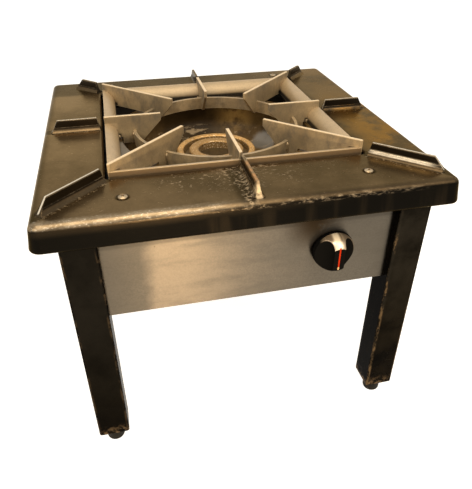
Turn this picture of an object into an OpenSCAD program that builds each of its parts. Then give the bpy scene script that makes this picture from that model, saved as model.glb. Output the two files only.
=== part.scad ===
// Square stockpot stove: a cast top on four legs, with a lift-off pan support over one double-ring burner.
// Lengths are in millimetres. The origin lies on the floor under the middle of the top, the front faces -Y.

/* [Top plate] */
// Width and depth of the top at the foot of its rim
top_w = 600; // [590:5:660]
// Height of the top surface above the floor
top_h = 460; // [430:5:520]
// Wall thickness of the casting
plate_t = 5; // [4:0.5:6]
// Height of the rim
rim_h = 38; // [30:1:46]
// How far the rim leans in over its height
rim_draft = 5; // [2:0.5:7]
// Radius of the rim's upper edge
edge_r = 9; // [7:0.5:11]
// Radius of the rolled bead along the foot of the rim
bead_r = 4; // [3:0.5:5]
// Corner radius of the top in plan
corner_r = 16; // [15:1:28]
// Width of the border on both sides of the square opening
border_w = 101; // [99:1:104]
// Corner radius of the opening
opening_r = 8; // [4:1:12]
// Bevel along the upper edge of the opening
opening_bevel = 2.5; // [1:0.5:3]
// Distance of the opening's centre behind the middle of the top
opening_back = 17; // [8:1:19]
// Depth of the ledge inside the opening
ledge_drop = 22; // [18:1:26]
// Width of the ledge
ledge_w = 24; // [21:1:27]
// Wall thickness of the ledge and of its skirt
ledge_t = 4; // [3:0.5:5]

/* [Ribs on the top] */
// Height of the ribs and of the pan support's fins above the top surface
rib_h = 20; // [17:1:26]
// Width of a rib along its top
rib_top_w = 4; // [3:0.5:6]
// Width of a rib at its root, without the fillets
rib_root_w = 7; // [6:0.5:10]
// Fillet radius at the root of a rib
rib_fillet = 8; // [3:0.5:9]
// Run of the slope at the outer end of the front, back and side ribs
rib_slope = 9; // [6:1:14]
// Run of the slope at the outer end of the corner ribs
corner_rib_slope = 15; // [8:1:16]
// Run of the slope at the inner end of a rib
rib_lead_in = 5; // [3:0.5:8]
// Length of the low toe at the outer end of a rib
rib_toe = 4; // [2:0.5:6]
// Height of the toe
rib_toe_h = 3; // [1:0.5:5]
// Distance from the side ribs to the foot of the rim
rib_margin_side = 16; // [13:1:30]
// Distance from the front rib to the foot of the rim
rib_margin_front = 13; // [13:1:30]
// Distance from the back rib to the foot of the rim
rib_margin_back = 18; // [13:1:30]
// Distance from the front corner ribs to the foot of the rim
rib_margin_front_corner = 15; // [14:1:30]
// Distance from the back corner ribs to the foot of the rim
rib_margin_back_corner = 38; // [14:1:42]

/* [Pan support] */
// Gap between the frame of the pan support and the opening
frame_gap = 5; // [3:0.5:7]
// Height of the frame above the top surface
frame_rise = 8; // [6:1:13]
// Radius of the quarter-round rails
rail_r = 21; // [17:1:22]
// Wall thickness of the rails
rail_t = 4; // [3:0.5:5]
// Thickness of the fins
fin_t = 5; // [4:0.5:7]
// How far the fins reach inside the ring
fin_reach = 49; // [40:1:54]
// Height of the upright edge at the tip of a fin
fin_tip_h = 12; // [8:1:16]
// How far the lower edge of a fin reaches inside the ring
fin_toe = 8; // [4:1:14]
// Distance from the ring between the fins to the wall of the bowl
ring_inset = 23; // [18:1:28]
// Thickness of the ring
ring_t = 5; // [4:0.5:7]
// Height of the ring
ring_h = 22; // [18:1:26]
// Depth of the ring's upper edge below the top surface
ring_drop = 7; // [4:1:10]
// Gap for the weld between a fin and a rail
weld_gap = 0.2; // [0.1:0.05:0.4]

/* [Drip bowl] */
// Sheet thickness of the bowl
bowl_t = 1.5; // [1:0.25:2.5]
// Gap between the bowl and the inner edge of the ledge
bowl_gap = 5; // [3:0.5:7]
// Width of the bowl's flange
bowl_flange = 20; // [16:1:22]
// Depth of the bowl below its flange
bowl_depth = 73; // [68:1:80]
// Radius between the wall and the floor of the bowl
bowl_bend = 40; // [24:1:50]
// Height of the collar round the burner
collar_h = 10; // [6:1:14]
// Gap between the burner and the collar
collar_gap = 3; // [1.5:0.5:5]

/* [Burner] */
// Outer radius of the outer flame ring
outer_ring_r = 72; // [68:1:76]
// Width of the outer flame ring
outer_ring_w = 11; // [10:0.5:13]
// Outer radius of the inner flame ring
inner_ring_r = 50; // [47:1:53]
// Width of the inner flame ring
inner_ring_w = 17; // [14:0.5:18]
// Height of both flame rings
flame_ring_h = 14; // [11:0.5:18]
// Wall thickness of the flame rings
flame_ring_t = 3.5; // [3:0.25:4]
// Diameter of a flame port
port_d = 2.6; // [1.6:0.2:3.4]
// Flame ports round each ring
port_count = 36; // [24:2:44]
// Height of the burner body
body_h = 26; // [22:1:32]
// Floor thickness of the burner body
body_floor = 6; // [5:0.5:8]
// Wall thickness of the burner body
body_t = 4; // [3:0.5:5]
// Thickness of the strap that carries bowl and burner
strap_t = 4; // [3:0.5:6]
// Width of that strap
strap_w = 164; // [156:2:180]
// Distance of the mixing tube's axis below the strap
mix_drop = 56; // [50:1:58]
// Outer radius of the mixing tube
mix_r = 18; // [16:0.5:19]
// Wall thickness of the mixing tube
mix_t = 3; // [2:0.5:4]
// Distance of the mixing tube's mouth behind the front panel
mix_mouth = 76; // [75:1:86]
// Length of the air shutter
shutter_l = 20; // [16:1:24]
// Wall thickness of the air shutter
shutter_t = 3; // [2:0.5:5]

/* [Legs and feet] */
// Width of a leg
leg_w = 50; // [44:1:54]
// Wall thickness of a leg
leg_t = 2; // [1.5:0.25:3]
// Corner radius of a leg
leg_r = 4; // [3.2:0.2:6]
// Distance from the rim to the outer side of a leg
leg_inset_side = 32; // [28:1:36]
// Distance from the rim to the front or rear of a leg
leg_inset_front = 20; // [18:1:24]
// Height of a foot's pad
pad_h = 24; // [18:1:32]
// Radius of a foot's pad
pad_r = 15; // [12:0.5:18]
// Height of a foot's lock nut
foot_nut_h = 9; // [6:0.5:12]
// Radius of a foot's threaded stud
stud_r = 6; // [5:0.5:8]
// Length of the stud above the pad
stud_l = 60; // [40:1:80]
// Thickness of the threaded plate in the end of a leg
bush_t = 8; // [6:0.5:12]

/* [Panels] */
// Sheet thickness of the panels
sheet_t = 1.5; // [1:0.25:2]
// How far the panels lie behind the outer faces of the legs
panel_recess = 14; // [10:1:16]
// Distance from the top surface to the lower edge of the panels
panel_drop = 179; // [172:1:200]
// Depth of the upper flange of the front and rear panels
screw_flange = 40; // [34:1:42]
// Depth of the side flanges and of the upper flange of the side panels
side_flange = 20; // [16:1:24]
// Distance from a plate screw to the inner side of the leg
plate_screw_inset = 41; // [30:1:60]
// Distance of the front plate screws from the foot of the rim
plate_screw_front = 60; // [52:1:62]
// Distance of the rear plate screws from the foot of the rim
plate_screw_back = 43; // [42:1:50]
// Radius of a plate screw's head
plate_head_r = 6.5; // [5:0.5:8]

/* [Knob and gas tap] */
// Distance from the knob's axis to the inner side of the right leg
knob_inset = 98; // [94:1:115]
// Distance of the knob's axis below the top surface
knob_drop = 109; // [105:1:112]
// Radius of the knob's base
knob_r = 32; // [28:1:35]
// Height of the knob
knob_h = 29.5; // [26:0.5:30]
// Radius of the knob's flat front
knob_front_r = 19; // [16:0.5:22]
// Thickness of the knob's base below the finger hollows
knob_base_h = 9; // [7:0.5:12]
// Thickness of the knob's grip
grip_t = 17; // [12:0.5:20]
// Width of the pointer line
pointer_w = 2.4; // [1.6:0.2:4]
// Depth of the pointer line in the grip
pointer_d = 0.8; // [0.4:0.1:1.5]
// Gap between the knob and the panel
knob_gap = 3.5; // [3.2:0.1:4]
// Radius of the spindle
spindle_r = 4; // [3:0.25:5]
// Radius of the tap plug
plug_r = 10; // [9:0.25:11]
// Radius of the tap body
tap_r = 17; // [15:0.5:20]
// Length of the tap body behind the panel
tap_l = 58.5; // [56:0.5:64]

/* [Gas pipes] */
// Radius of the supply pipe
supply_r = 6; // [4:0.5:7]
// Distance from the supply pipe to the inner side of the right leg
supply_inset = 38; // [34:1:42]
// Radius of the burner pipe
burner_pipe_r = 5; // [3:0.5:6]
// Centre-line radius of the bends in both pipes
bend_r = 15; // [12:0.5:16]
// Radius of the threaded end of the inlet nipple
nipple_r = 10.5; // [8:0.5:13]
// How far the inlet nipple stands out behind the rear panel
nipple_l = 27; // [24:1:33]
// Distance of the pilot and the thermocouple from the burner's axis
pilot_r = 87; // [84:1:92]
// Direction of the thermocouple, seen from above
thermocouple_angle = -62; // [-68:1:-58]
// Direction of the pilot burner, seen from above
pilot_angle = -43; // [-48:1:-36]
// Height of the pilot's hood and of the thermocouple's tip above the strap
pilot_h = 38; // [30:1:42]

/* [Fits] */
// Radial clearance of running and sliding fits
fit_gap = 0.05; // [0.02:0.01:0.1]
// Radial clearance of screws and pipes in their holes
hole_gap = 0.4; // [0.25:0.05:0.8]

/* [Hidden] */
$fn = 96;
eps = 1;

// Colours of the finishes
ENAMEL = [0.10, 0.09, 0.07];
STEEL = [0.66, 0.64, 0.60];
GRATE = [0.55, 0.47, 0.36];
BRASS = [0.74, 0.55, 0.32];
BURNT = [0.30, 0.22, 0.14];
IRON = [0.28, 0.26, 0.24];
COPPER = [0.72, 0.45, 0.30];
BLACK = [0.04, 0.04, 0.04];

// Top plate
half = top_w / 2;
under_z = top_h - plate_t;
opening_w = top_w - 2 * border_w;
opening_half = opening_w / 2;
rim_lean = atan(rim_draft / (rim_h - bead_r));
edge_x = corner_r - (edge_r + (rim_h - bead_r - edge_r) * sin(rim_lean)) / cos(rim_lean);
side_l = top_w - 2 * corner_r;
dimple_floor_r = plate_head_r + 0.5;
dimple_r = dimple_floor_r + 3;
dimple_d = 1.5;
plate_screw_r = 3;
head_h = 4;
key_r = 2.4;
key_d = 2.5;
plate_nut_r = 5.8;
plate_nut_t = 5;
thread_end = 4;

// Pan support
frame_half = opening_half - frame_gap;
seat_z = top_h - ledge_drop + bowl_t;
rail_axis_z = top_h + frame_rise - rail_r;
fin_top_z = top_h + rib_h;
ring_z = top_h - ring_drop - ring_h;
fin_lift = 3;
heel_gap = 3;

// Bowl and strap
ledge_half = opening_half - ledge_w;
bowl_r = ledge_half - bowl_gap;
ring_r = bowl_r - ring_inset;
fin_tip_r = ring_r - fin_reach;
bowl_floor_z = seat_z - bowl_depth;
strap_z = bowl_floor_z - bowl_t;
fin_heel_r = bowl_r - bowl_t - heel_gap;
strap_tab = 25;

// Burner
seat_lap = 1.5;
seat_t = 3;
body_r = outer_ring_r - 2;
body_hole_r = inner_ring_r - inner_ring_w;
collar_r = body_r + collar_gap;
flame_z = strap_z + body_h;
divider_r = (inner_ring_r + outer_ring_r - outer_ring_w) / 2;
divider_t = 5;
inlet_back = divider_r - 3;
inlet_r = 12;
mix_z = strap_z - mix_drop;
mix_bend = mix_r + 8;
mix_flange_r = mix_r + 12;
mix_flange_t = 5;
bolt_r = 2.5;
bolt_x = mix_r + 5;
strap_web = 4;
strap_hole_r = inlet_back - mix_r - hole_gap - strap_web;
air_slot_l = 16;
air_slot_w = 10;
air_slot_back = 14;
shutter_back = 26;

// Legs, feet and panels
leg_x = half - leg_inset_side - leg_w / 2;
leg_y = half - leg_inset_front - leg_w / 2;
leg_bottom = pad_h + foot_nut_h;
leg_in_x = leg_x - leg_w / 2;
leg_in_y = leg_y - leg_w / 2;
panel_y = leg_y + leg_w / 2 - panel_recess;
panel_x = leg_x + leg_w / 2 - panel_recess;
panel_z = top_h - panel_drop;
panel_screw_r = 2.5;
screw_end = 3;
panel_screw_low = 30;
panel_screw_high = 40;
panel_screw_rows = [panel_z + panel_screw_low, under_z - panel_screw_high];
plate_screw_x = leg_in_x - plate_screw_inset;
hem_d = 15;

// Tap and pipes
knob_push = 3;
skirt_h = 6;
skirt_edge = 1;
skirt_step = 0.5;
knob_front_t = 6;
tap_z = top_h - knob_drop;
knob_x = leg_in_x - knob_inset;
supply_x = leg_in_x - supply_inset;
neck_r = 9;
neck_l = 6;
nut_t = 4;
plug_front = 14;
plug_gap = 0.3;
plug_l = 29.5;
socket_l = 11;
socket_spare = 2.5;
boss_r = 7;
gas_bore_r = boss_r - 3;
pilot_boss_r = boss_r - 2;
pilot_bore_r = 1.5;
wide_port_r = 3;
fine_port_r = 1;
port_plane = 34;
inlet_plane = sheet_t + tap_l - 9;
cap_t = 6;
tail_l = 16;
boss_l = 11;
pilot_boss_l = 5;
run_z = mix_z;
inlet_y = -panel_y + inlet_plane;
outlet_y = -panel_y + port_plane;
mouth_y = -panel_y + mix_mouth;
injector_back = 10;
nozzle_r = 5;
union_t = 10;
hex_wall = 5;
tail_y = -panel_y + sheet_t + tap_l + cap_t + tail_l;
lead_r = 1.5;
pilot_pipe_r = 2;
lead_drop = 21;
lead_reach = 34;
lead_z = tap_z - lead_drop;
pilot_drop = 34;
pilot_run_z = tap_z - pilot_drop;
stem_l = 16;
stem_r = 3;
pilot_nut_r = 6;
pilot_nut_t = 5;
small_bend = 8;
nipple_nut_t = 7;
nipple_hex_t = 8;
nipple_shank_r = nipple_r + 1;
nipple_wall = 3;
nipple_y = panel_y - sheet_t - nipple_hex_t;
thermocouple_x = round(pilot_r * cos(thermocouple_angle));
thermocouple_y = opening_back + round(pilot_r * sin(thermocouple_angle));
pilot_x = round(pilot_r * cos(pilot_angle));
pilot_y = opening_back + round(pilot_r * sin(pilot_angle));
holder_t = 5;
inlet_end = [knob_x + tap_r + boss_l, inlet_y, tap_z];
outlet_end = [knob_x - tap_r - boss_l, outlet_y, tap_z];
pilot_end = [knob_x, inlet_y, tap_z - tap_r - pilot_boss_l];
injector_end = [0, mouth_y - holder_t - injector_back, mix_z];
nipple_end = [supply_x, nipple_y, run_z];
tip_l = 5;

function unit(v) = v / norm(v);
function bend_cut(a, b, c, r) = r * tan(acos(unit(b - a) * unit(c - b)) / 2);

// General shapes

module rounded_square(w, r) {
    square([w, w - 2 * r], center = true);
    square([w - 2 * r, w], center = true);
    for (sx = [-1, 1], sy = [-1, 1]) translate([sx, sy] * (w / 2 - r)) circle(r);
}

// Moves the origin to a point and turns +Z into a direction
module facing(at, along) {
    translate(at) rotate([0, acos(along.z), atan2(along.y, along.x)]) children();
}

module rod(from, to, r) {
    facing(from, unit(to - from)) cylinder(r = r, h = norm(to - from));
}

// Tube of radius r along straight runs, with an arc of radius bend at each corner
module bent_rod(points, r, bend) {
    last = len(points) - 1;
    cuts = [for (i = [0 : last]) i == 0 || i == last ? 0
        : bend_cut(points[i - 1], points[i], points[i + 1], bend)];
    for (i = [0 : last - 1]) {
        along = unit(points[i + 1] - points[i]);
        rod(points[i] + along * cuts[i], points[i + 1] - along * cuts[i + 1], r);
    }
    for (i = [1 : last - 1]) elbow(points[i], points[i - 1], points[i + 1], r, bend, cuts[i]);
}

module elbow(corner, before, after, r, bend, cut) {
    into = unit(corner - before);
    out = unit(after - corner);
    axis = unit(cross(into, out));
    side = cross(axis, into);
    centre = corner - into * cut + side * bend;
    multmatrix([for (k = [0 : 2]) [-side[k], into[k], axis[k], centre[k]]])
        rotate_extrude(angle = acos(into * out)) translate([bend, 0]) circle(r);
}

module hex(r, h) {
    cylinder(r = r, h = h, $fn = 6);
}

// Screw along +Z with its head below the origin and its shank through it
module hex_screw(r, length) {
    translate([0, 0, -1.4 * r]) hex(1.85 * r, 1.4 * r);
    translate([0, 0, -eps]) cylinder(r = r, h = length + eps);
}

module at_opening() {
    translate([0, opening_back, 0]) children();
}

module at_legs() {
    for (sx = [-1, 1], sy = [-1, 1]) translate([sx * leg_x, sy * leg_y, 0]) children();
}

// Axis of the tap: X to the right, Y down, Z to the back, from the outer face of the front panel
module at_tap() {
    translate([knob_x, -panel_y, tap_z]) rotate([-90, 0, 0]) children();
}

module at_plate_screws() {
    for (sx = [-1, 1], y = [-half + plate_screw_front, half - plate_screw_back])
        translate([sx * plate_screw_x, y, top_h]) children();
}

// Top plate

// Section of the casting's edge, outwards from the centre of the corner arc, with the top surface at zero
module rim_solid(inset) {
    wall_foot = -rim_h + bead_r;
    reach = edge_r - inset;
    foot_x = corner_r - inset / cos(rim_lean);
    intersection() {
        translate([edge_x, -edge_r]) circle(reach);
        translate([0, -rim_h]) square(2 * rim_h);
    }
    polygon([
        [0, -inset], [edge_x, -inset], [edge_x, -edge_r],
        [edge_x + reach * cos(rim_lean), -edge_r + reach * sin(rim_lean)],
        [foot_x, wall_foot], [0, wall_foot]
    ]);
}

module rim_section() {
    difference() {
        rim_solid(0);
        rim_solid(plate_t);
    }
    translate([corner_r - bead_r, -rim_h + bead_r]) circle(bead_r);
}

module casting_shell() {
    for (turn = [0 : 90 : 270]) rotate(turn) {
        translate([side_l / 2, side_l / 2, 0]) rotate_extrude(angle = 90) rim_section();
        translate([side_l / 2, 0, 0]) rotate([90, 0, 0])
            linear_extrude(side_l, center = true) rim_section();
    }
    translate([0, 0, -plate_t / 2]) cube([side_l, side_l, plate_t], center = true);
}

module rib_cross_section() {
    polygon([
        [-rib_root_w / 2, -plate_t + eps], [-rib_root_w / 2, 0], [-rib_top_w / 2, rib_h],
        [rib_top_w / 2, rib_h], [rib_root_w / 2, 0], [rib_root_w / 2, -plate_t + eps]
    ]);
    for (s = [0, 1]) mirror([s, 0]) difference() {
        translate([0, -plate_t + eps])
            square([rib_root_w / 2 + rib_fillet, plate_t - eps + rib_fillet]);
        translate([rib_root_w / 2 + rib_fillet, rib_fillet]) circle(rib_fillet);
    }
}

// Side view of a rib: a steep lead-in at the opening, a slope and a low toe at the outer end
module rib_side_view(length, slope) {
    toe_x = length - rib_toe;
    polygon([
        [-eps, -plate_t], [-eps, 0], [0, 0], [rib_lead_in, rib_h], [toe_x - slope, rib_h],
        [toe_x, rib_toe_h], [length, 0], [length, -plate_t]
    ]);
}

module rib_plan(length) {
    reach = rib_root_w / 2 + rib_fillet;
    translate([-eps, -reach]) square([length - reach + eps, 2 * reach]);
    translate([length - reach, 0]) circle(reach);
}

// Rib from the origin along +X
module rib(length, slope) {
    intersection() {
        rotate([90, 0, 90]) translate([0, 0, -2 * eps]) linear_extrude(length + 4 * eps) rib_cross_section();
        rotate([90, 0, 0]) linear_extrude(4 * (rib_root_w + rib_fillet), center = true)
            rib_side_view(length, slope);
        translate([0, 0, -2 * plate_t]) linear_extrude(2 * (plate_t + rib_h)) rib_plan(length);
    }
}

module ribs() {
    start = opening_half + opening_bevel;
    room = half - start;
    at_opening() {
        for (turn = [0, 180]) rotate(turn) translate([start, 0, 0]) rib(room - rib_margin_side, rib_slope);
        rotate(-90) translate([start, 0, 0]) rib(room - rib_margin_front + opening_back, rib_slope);
        rotate(90) translate([start, 0, 0]) rib(room - rib_margin_back - opening_back, rib_slope);
        for (turn = [-45, -135]) rotate(turn) translate([start * sqrt(2), 0, 0])
            rib((room - rib_margin_front_corner) * sqrt(2), corner_rib_slope);
        for (turn = [45, 135]) rotate(turn) translate([start * sqrt(2), 0, 0])
            rib((room - rib_margin_back_corner - opening_back) * sqrt(2), corner_rib_slope);
    }
}

// Section of the cut along the opening's edge, outwards from the opening
module bevel_section() {
    polygon([
        [-eps, -opening_bevel - eps], [0, -opening_bevel], [opening_bevel, 0],
        [opening_bevel, rib_h + eps], [-eps, rib_h + eps]
    ]);
}

module opening_edge() {
    straight = opening_half - opening_r;
    for (turn = [0 : 90 : 270]) rotate(turn) {
        translate([opening_half, 0, 0]) rotate([90, 0, 0])
            linear_extrude(2 * straight, center = true) bevel_section();
        translate([straight, straight, 0]) rotate_extrude(angle = 90)
            translate([opening_r, 0]) bevel_section();
    }
}

module ledge() {
    outer = opening_w + 2 * ledge_t;
    difference() {
        translate([0, 0, -ledge_drop - ledge_t]) linear_extrude(ledge_drop + ledge_t - eps)
            rounded_square(outer, opening_r + ledge_t);
        translate([0, 0, -ledge_drop]) linear_extrude(ledge_drop + eps) rounded_square(opening_w, opening_r);
        translate([0, 0, -ledge_drop - ledge_t - eps]) linear_extrude(ledge_drop)
            rounded_square(2 * ledge_half, opening_r);
    }
}

module top_plate() {
    color(ENAMEL) difference() {
        translate([0, 0, top_h]) {
            difference() {
                union() {
                    casting_shell();
                    ribs();
                }
                at_opening() translate([0, 0, -plate_t - eps]) linear_extrude(plate_t + rib_h + 2 * eps)
                    rounded_square(opening_w, opening_r);
            }
            at_opening() ledge();
        }
        translate([0, 0, top_h]) at_opening() opening_edge();
        at_plate_screws() {
            translate([0, 0, -dimple_d]) cylinder(r1 = dimple_floor_r, r2 = dimple_r, h = dimple_d + 0.01);
            translate([0, 0, -plate_t - eps]) cylinder(r = plate_screw_r + hole_gap, h = plate_t + eps);
        }
    }
}

module plate_screws() {
    shank = plate_t + sheet_t + plate_nut_t + thread_end - dimple_d;
    color(STEEL) at_plate_screws() translate([0, 0, -dimple_d]) difference() {
        union() {
            intersection() {
                cylinder(r = plate_head_r, h = head_h);
                translate([0, 0, head_h - 2 * plate_head_r]) sphere(2 * plate_head_r);
            }
            translate([0, 0, -shank]) cylinder(r = plate_screw_r, h = shank + eps);
        }
        translate([0, 0, head_h - key_d]) hex(key_r, head_h);
    }
}

module plate_nuts() {
    color(STEEL) at_plate_screws() translate([0, 0, -plate_t - sheet_t - plate_nut_t]) difference() {
        hex(plate_nut_r, plate_nut_t);
        translate([0, 0, -eps]) cylinder(r = plate_screw_r + fit_gap, h = plate_nut_t + 2 * eps);
    }
}

// Pan support

// Section of a rail, inwards from its outer face
module rail_outline(grow) {
    intersection() {
        translate([0, rail_axis_z]) circle(rail_r + grow);
        translate([0, rail_axis_z]) square(rail_r + grow);
    }
    translate([0, seat_z - grow]) square([rail_r + grow, rail_axis_z - seat_z + grow]);
}

module rail_section() {
    inner = rail_r - rail_t;
    difference() {
        rail_outline(0);
        intersection() {
            translate([0, rail_axis_z]) circle(inner);
            translate([rail_t, rail_axis_z]) square(inner);
        }
        translate([rail_t, seat_z - eps]) square([inner - rail_t, rail_axis_z - seat_z + eps]);
    }
}

module place_rail(turn) {
    at_opening() rotate(turn) translate([frame_half, 0, 0]) mirror([1, 0, 0]) rotate([90, 0, 0])
        linear_extrude(2 * frame_half, center = true) children();
}

// Rail on the side that faces the direction turn, mitred at both ends
module rail(turn) {
    color(GRATE) intersection() {
        place_rail(turn) rail_section();
        at_opening() rotate(turn) linear_extrude(fin_top_z)
            polygon([[0, 0], [frame_half, -frame_half], [frame_half, frame_half]]);
    }
}

// Fin towards the direction turn: the rails are stretch times further out there than at the sides
module fin(turn, stretch) {
    outer = frame_half * stretch;
    toe_r = ring_r - ring_t - fin_toe;
    color(GRATE) difference() {
        intersection() {
            at_opening() rotate(turn) rotate([90, 0, 0]) linear_extrude(fin_t, center = true) polygon([
                [fin_tip_r, fin_top_z], [outer, fin_top_z], [outer, seat_z + fin_lift],
                [fin_heel_r, seat_z + fin_lift], [fin_heel_r, ring_z], [toe_r, ring_z],
                [fin_tip_r, fin_top_z - fin_tip_h]
            ]);
            at_opening() linear_extrude(2 * fin_top_z) square(2 * frame_half, center = true);
        }
        for (side = [0 : 90 : 270]) place_rail(side) rail_outline(weld_gap);
    }
}

module side_fin(turn) {
    fin(turn, 1);
}

module corner_fin(turn) {
    fin(turn, sqrt(2));
}

module ring_segments() {
    color(GRATE) at_opening() difference() {
        translate([0, 0, ring_z]) difference() {
            cylinder(r = ring_r, h = ring_h);
            translate([0, 0, -eps]) cylinder(r = ring_r - ring_t, h = ring_h + 2 * eps);
        }
        for (turn = [0 : 45 : 135]) rotate(turn) translate([0, 0, top_h])
            cube([3 * ring_r, fin_t, 4 * ring_h], center = true);
    }
}

// Drip bowl

module bowl_section() {
    wall_r = bowl_r - bowl_t;
    bend_x = bowl_r - bowl_bend;
    bend_z = strap_z + bowl_bend;
    translate([wall_r, seat_z - bowl_t]) square([bowl_t + bowl_flange, bowl_t]);
    translate([wall_r, bend_z]) square([bowl_t, seat_z - bend_z]);
    intersection() {
        difference() {
            translate([bend_x, bend_z]) circle(bowl_bend);
            translate([bend_x, bend_z]) circle(bowl_bend - bowl_t);
        }
        translate([bend_x, strap_z]) square(bowl_bend);
    }
    translate([collar_r, strap_z]) square([bend_x - collar_r, bowl_t]);
    translate([collar_r, strap_z]) square([bowl_t, collar_h]);
}

module at_pilots() {
    translate([thermocouple_x, thermocouple_y, 0]) children();
    translate([pilot_x, pilot_y, 0]) children();
}

module drip_bowl() {
    color(BURNT) difference() {
        at_opening() rotate_extrude() bowl_section();
        at_pilots() translate([0, 0, strap_z - eps]) cylinder(r = pilot_nut_r + 2, h = bowl_t + 2 * eps);
    }
}

// Burner and its strap

module at_inlet() {
    translate([0, opening_back - inlet_back, 0]) children();
}

module burner_strap() {
    inner = panel_x - sheet_t;
    color(STEEL) difference() {
        translate([0, opening_back, 0]) {
            translate([-inner, -strap_w / 2, strap_z - strap_t]) cube([2 * inner, strap_w, strap_t]);
            for (sx = [0, 1]) mirror([sx, 0, 0]) translate([inner - strap_t, -strap_w / 2, strap_z - strap_tab])
                cube([strap_t, strap_w, strap_tab]);
        }
        translate([0, opening_back, strap_z - strap_t - eps]) cylinder(r = strap_hole_r, h = strap_t + 2 * eps);
        at_inlet() translate([0, 0, strap_z - strap_t - eps]) {
            cylinder(r = mix_r + hole_gap, h = strap_t + 2 * eps);
            for (sx = [-1, 1]) translate([sx * bolt_x, 0, 0])
                cylinder(r = bolt_r + hole_gap, h = strap_t + 2 * eps);
        }
        at_pilots() translate([0, 0, strap_z - strap_t - eps])
            cylinder(r = stem_r + hole_gap, h = strap_t + 2 * eps);
        strap_screw_holes();
    }
}

// Screws through the side panels into the strap's end tabs, with Z inwards
module at_strap_screws() {
    screw_z = strap_z - (strap_t + strap_tab) / 2;
    for (sx = [0, 1], sy = [-1, 1]) mirror([sx, 0, 0])
        translate([panel_x, opening_back + sy * strap_w / 3, screw_z]) rotate([0, -90, 0]) children();
}

module strap_screw_holes() {
    at_strap_screws() translate([0, 0, -eps])
        cylinder(r = panel_screw_r + hole_gap, h = sheet_t + strap_t + 2 * eps);
}

module strap_screws() {
    color(STEEL) at_strap_screws() hex_screw(panel_screw_r, strap_t + sheet_t + screw_end);
}

module body_section() {
    top_flange_in = inner_ring_r - seat_lap;
    top_flange_out = outer_ring_r - outer_ring_w + seat_lap;
    translate([body_hole_r, 0]) square([body_r - body_hole_r, body_floor]);
    translate([body_hole_r, 0]) square([body_t, body_h]);
    translate([body_r - body_t, 0]) square([body_t, body_h]);
    translate([divider_r - divider_t / 2, 0]) square([divider_t, body_h]);
    translate([top_flange_in, body_h - seat_t]) square([top_flange_out - top_flange_in, seat_t]);
}

module burner_body() {
    color(IRON) difference() {
        translate([0, opening_back, strap_z]) rotate_extrude() body_section();
        at_inlet() translate([0, 0, strap_z - eps]) {
            cylinder(r = inlet_r, h = body_floor + eps);
            for (sx = [-1, 1]) translate([sx * bolt_x, 0, 0])
                cylinder(r = bolt_r + fit_gap, h = eps + body_floor - 1);
        }
    }
}

// Cap ring between two radii, hollow below, with ports through its outer wall
module flame_ring(inner, outer, spread) {
    crown = 2;
    color(BRASS) translate([0, opening_back, flame_z]) difference() {
        rotate_extrude() difference() {
            polygon([
                [inner, 0], [outer, 0], [outer, flame_ring_h - crown],
                [outer - crown, flame_ring_h], [inner + crown, flame_ring_h], [inner, flame_ring_h - crown]
            ]);
            translate([inner + flame_ring_t, -eps])
                square([outer - inner - 2 * flame_ring_t, flame_ring_h - flame_ring_t + eps]);
        }
        for (i = [0 : port_count - 1]) rotate((i + spread) * 360 / port_count)
            translate([outer - flame_ring_t - eps, 0, flame_ring_h / 2]) rotate([0, 90, 0])
                cylinder(r = port_d / 2, h = flame_ring_t + 2 * eps, $fn = 16);
    }
}

module outer_flame_ring() {
    flame_ring(outer_ring_r - outer_ring_w, outer_ring_r, 0);
}

module inner_flame_ring() {
    flame_ring(inner_ring_r - inner_ring_w, inner_ring_r, 0.5);
}

module burner_bolts() {
    stack = mix_flange_t + strap_t;
    color(STEEL) at_inlet() for (sx = [-1, 1]) translate([sx * bolt_x, 0, strap_z - stack])
        hex_screw(bolt_r, stack + body_floor - 2);
}

// Path of the mixing tube, from its mouth to the burner
function mix_path() = [
    [0, mouth_y, mix_z], [0, opening_back - inlet_back, mix_z], [0, opening_back - inlet_back, strap_z]
];

module mixing_tube() {
    color(IRON) difference() {
        union() {
            bent_rod(mix_path(), mix_r, mix_bend);
            at_inlet() translate([0, 0, strap_z - strap_t - mix_flange_t])
                cylinder(r = mix_flange_r, h = mix_flange_t);
        }
        bent_rod(mix_path(), mix_r - mix_t, mix_bend);
        at_inlet() for (sx = [-1, 1]) translate([sx * bolt_x, 0, strap_z - strap_t - mix_flange_t - eps])
            cylinder(r = bolt_r + hole_gap, h = mix_flange_t + 2 * eps);
        for (turn = [45, 135]) translate([0, mouth_y + air_slot_back, mix_z]) rotate([0, turn, 0])
            cube([3 * mix_r, air_slot_l, air_slot_w], center = true);
    }
}

module air_shutter() {
    start = mouth_y + shutter_back - shutter_l / 2;
    color(STEEL) translate([0, start, mix_z]) rotate([-90, 0, 0]) difference() {
        cylinder(r = mix_r + shutter_t, h = shutter_l);
        translate([0, 0, -eps]) cylinder(r = mix_r + fit_gap, h = shutter_l + 2 * eps);
    }
}

module injector_holder() {
    color(STEEL) translate([0, mouth_y, mix_z]) rotate([90, 0, 0]) difference() {
        cylinder(r = mix_r, h = holder_t);
        translate([0, 0, -eps]) cylinder(r = nozzle_r + fit_gap, h = holder_t + 2 * eps);
    }
}

module injector() {
    straight_l = holder_t + 6;
    nose_l = 6;
    jet_r = 0.9;
    color(BRASS) translate([0, mouth_y - holder_t, mix_z]) rotate([90, 0, 0]) difference() {
        union() {
            hex(nozzle_r + 3, injector_back);
            translate([0, 0, -straight_l]) cylinder(r = nozzle_r, h = straight_l + eps);
            translate([0, 0, -straight_l - nose_l]) cylinder(r1 = nozzle_r / 2, r2 = nozzle_r, h = nose_l);
        }
        translate([0, 0, -straight_l - nose_l - eps]) cylinder(r = jet_r, h = straight_l);
    }
}

// Legs and feet

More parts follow.
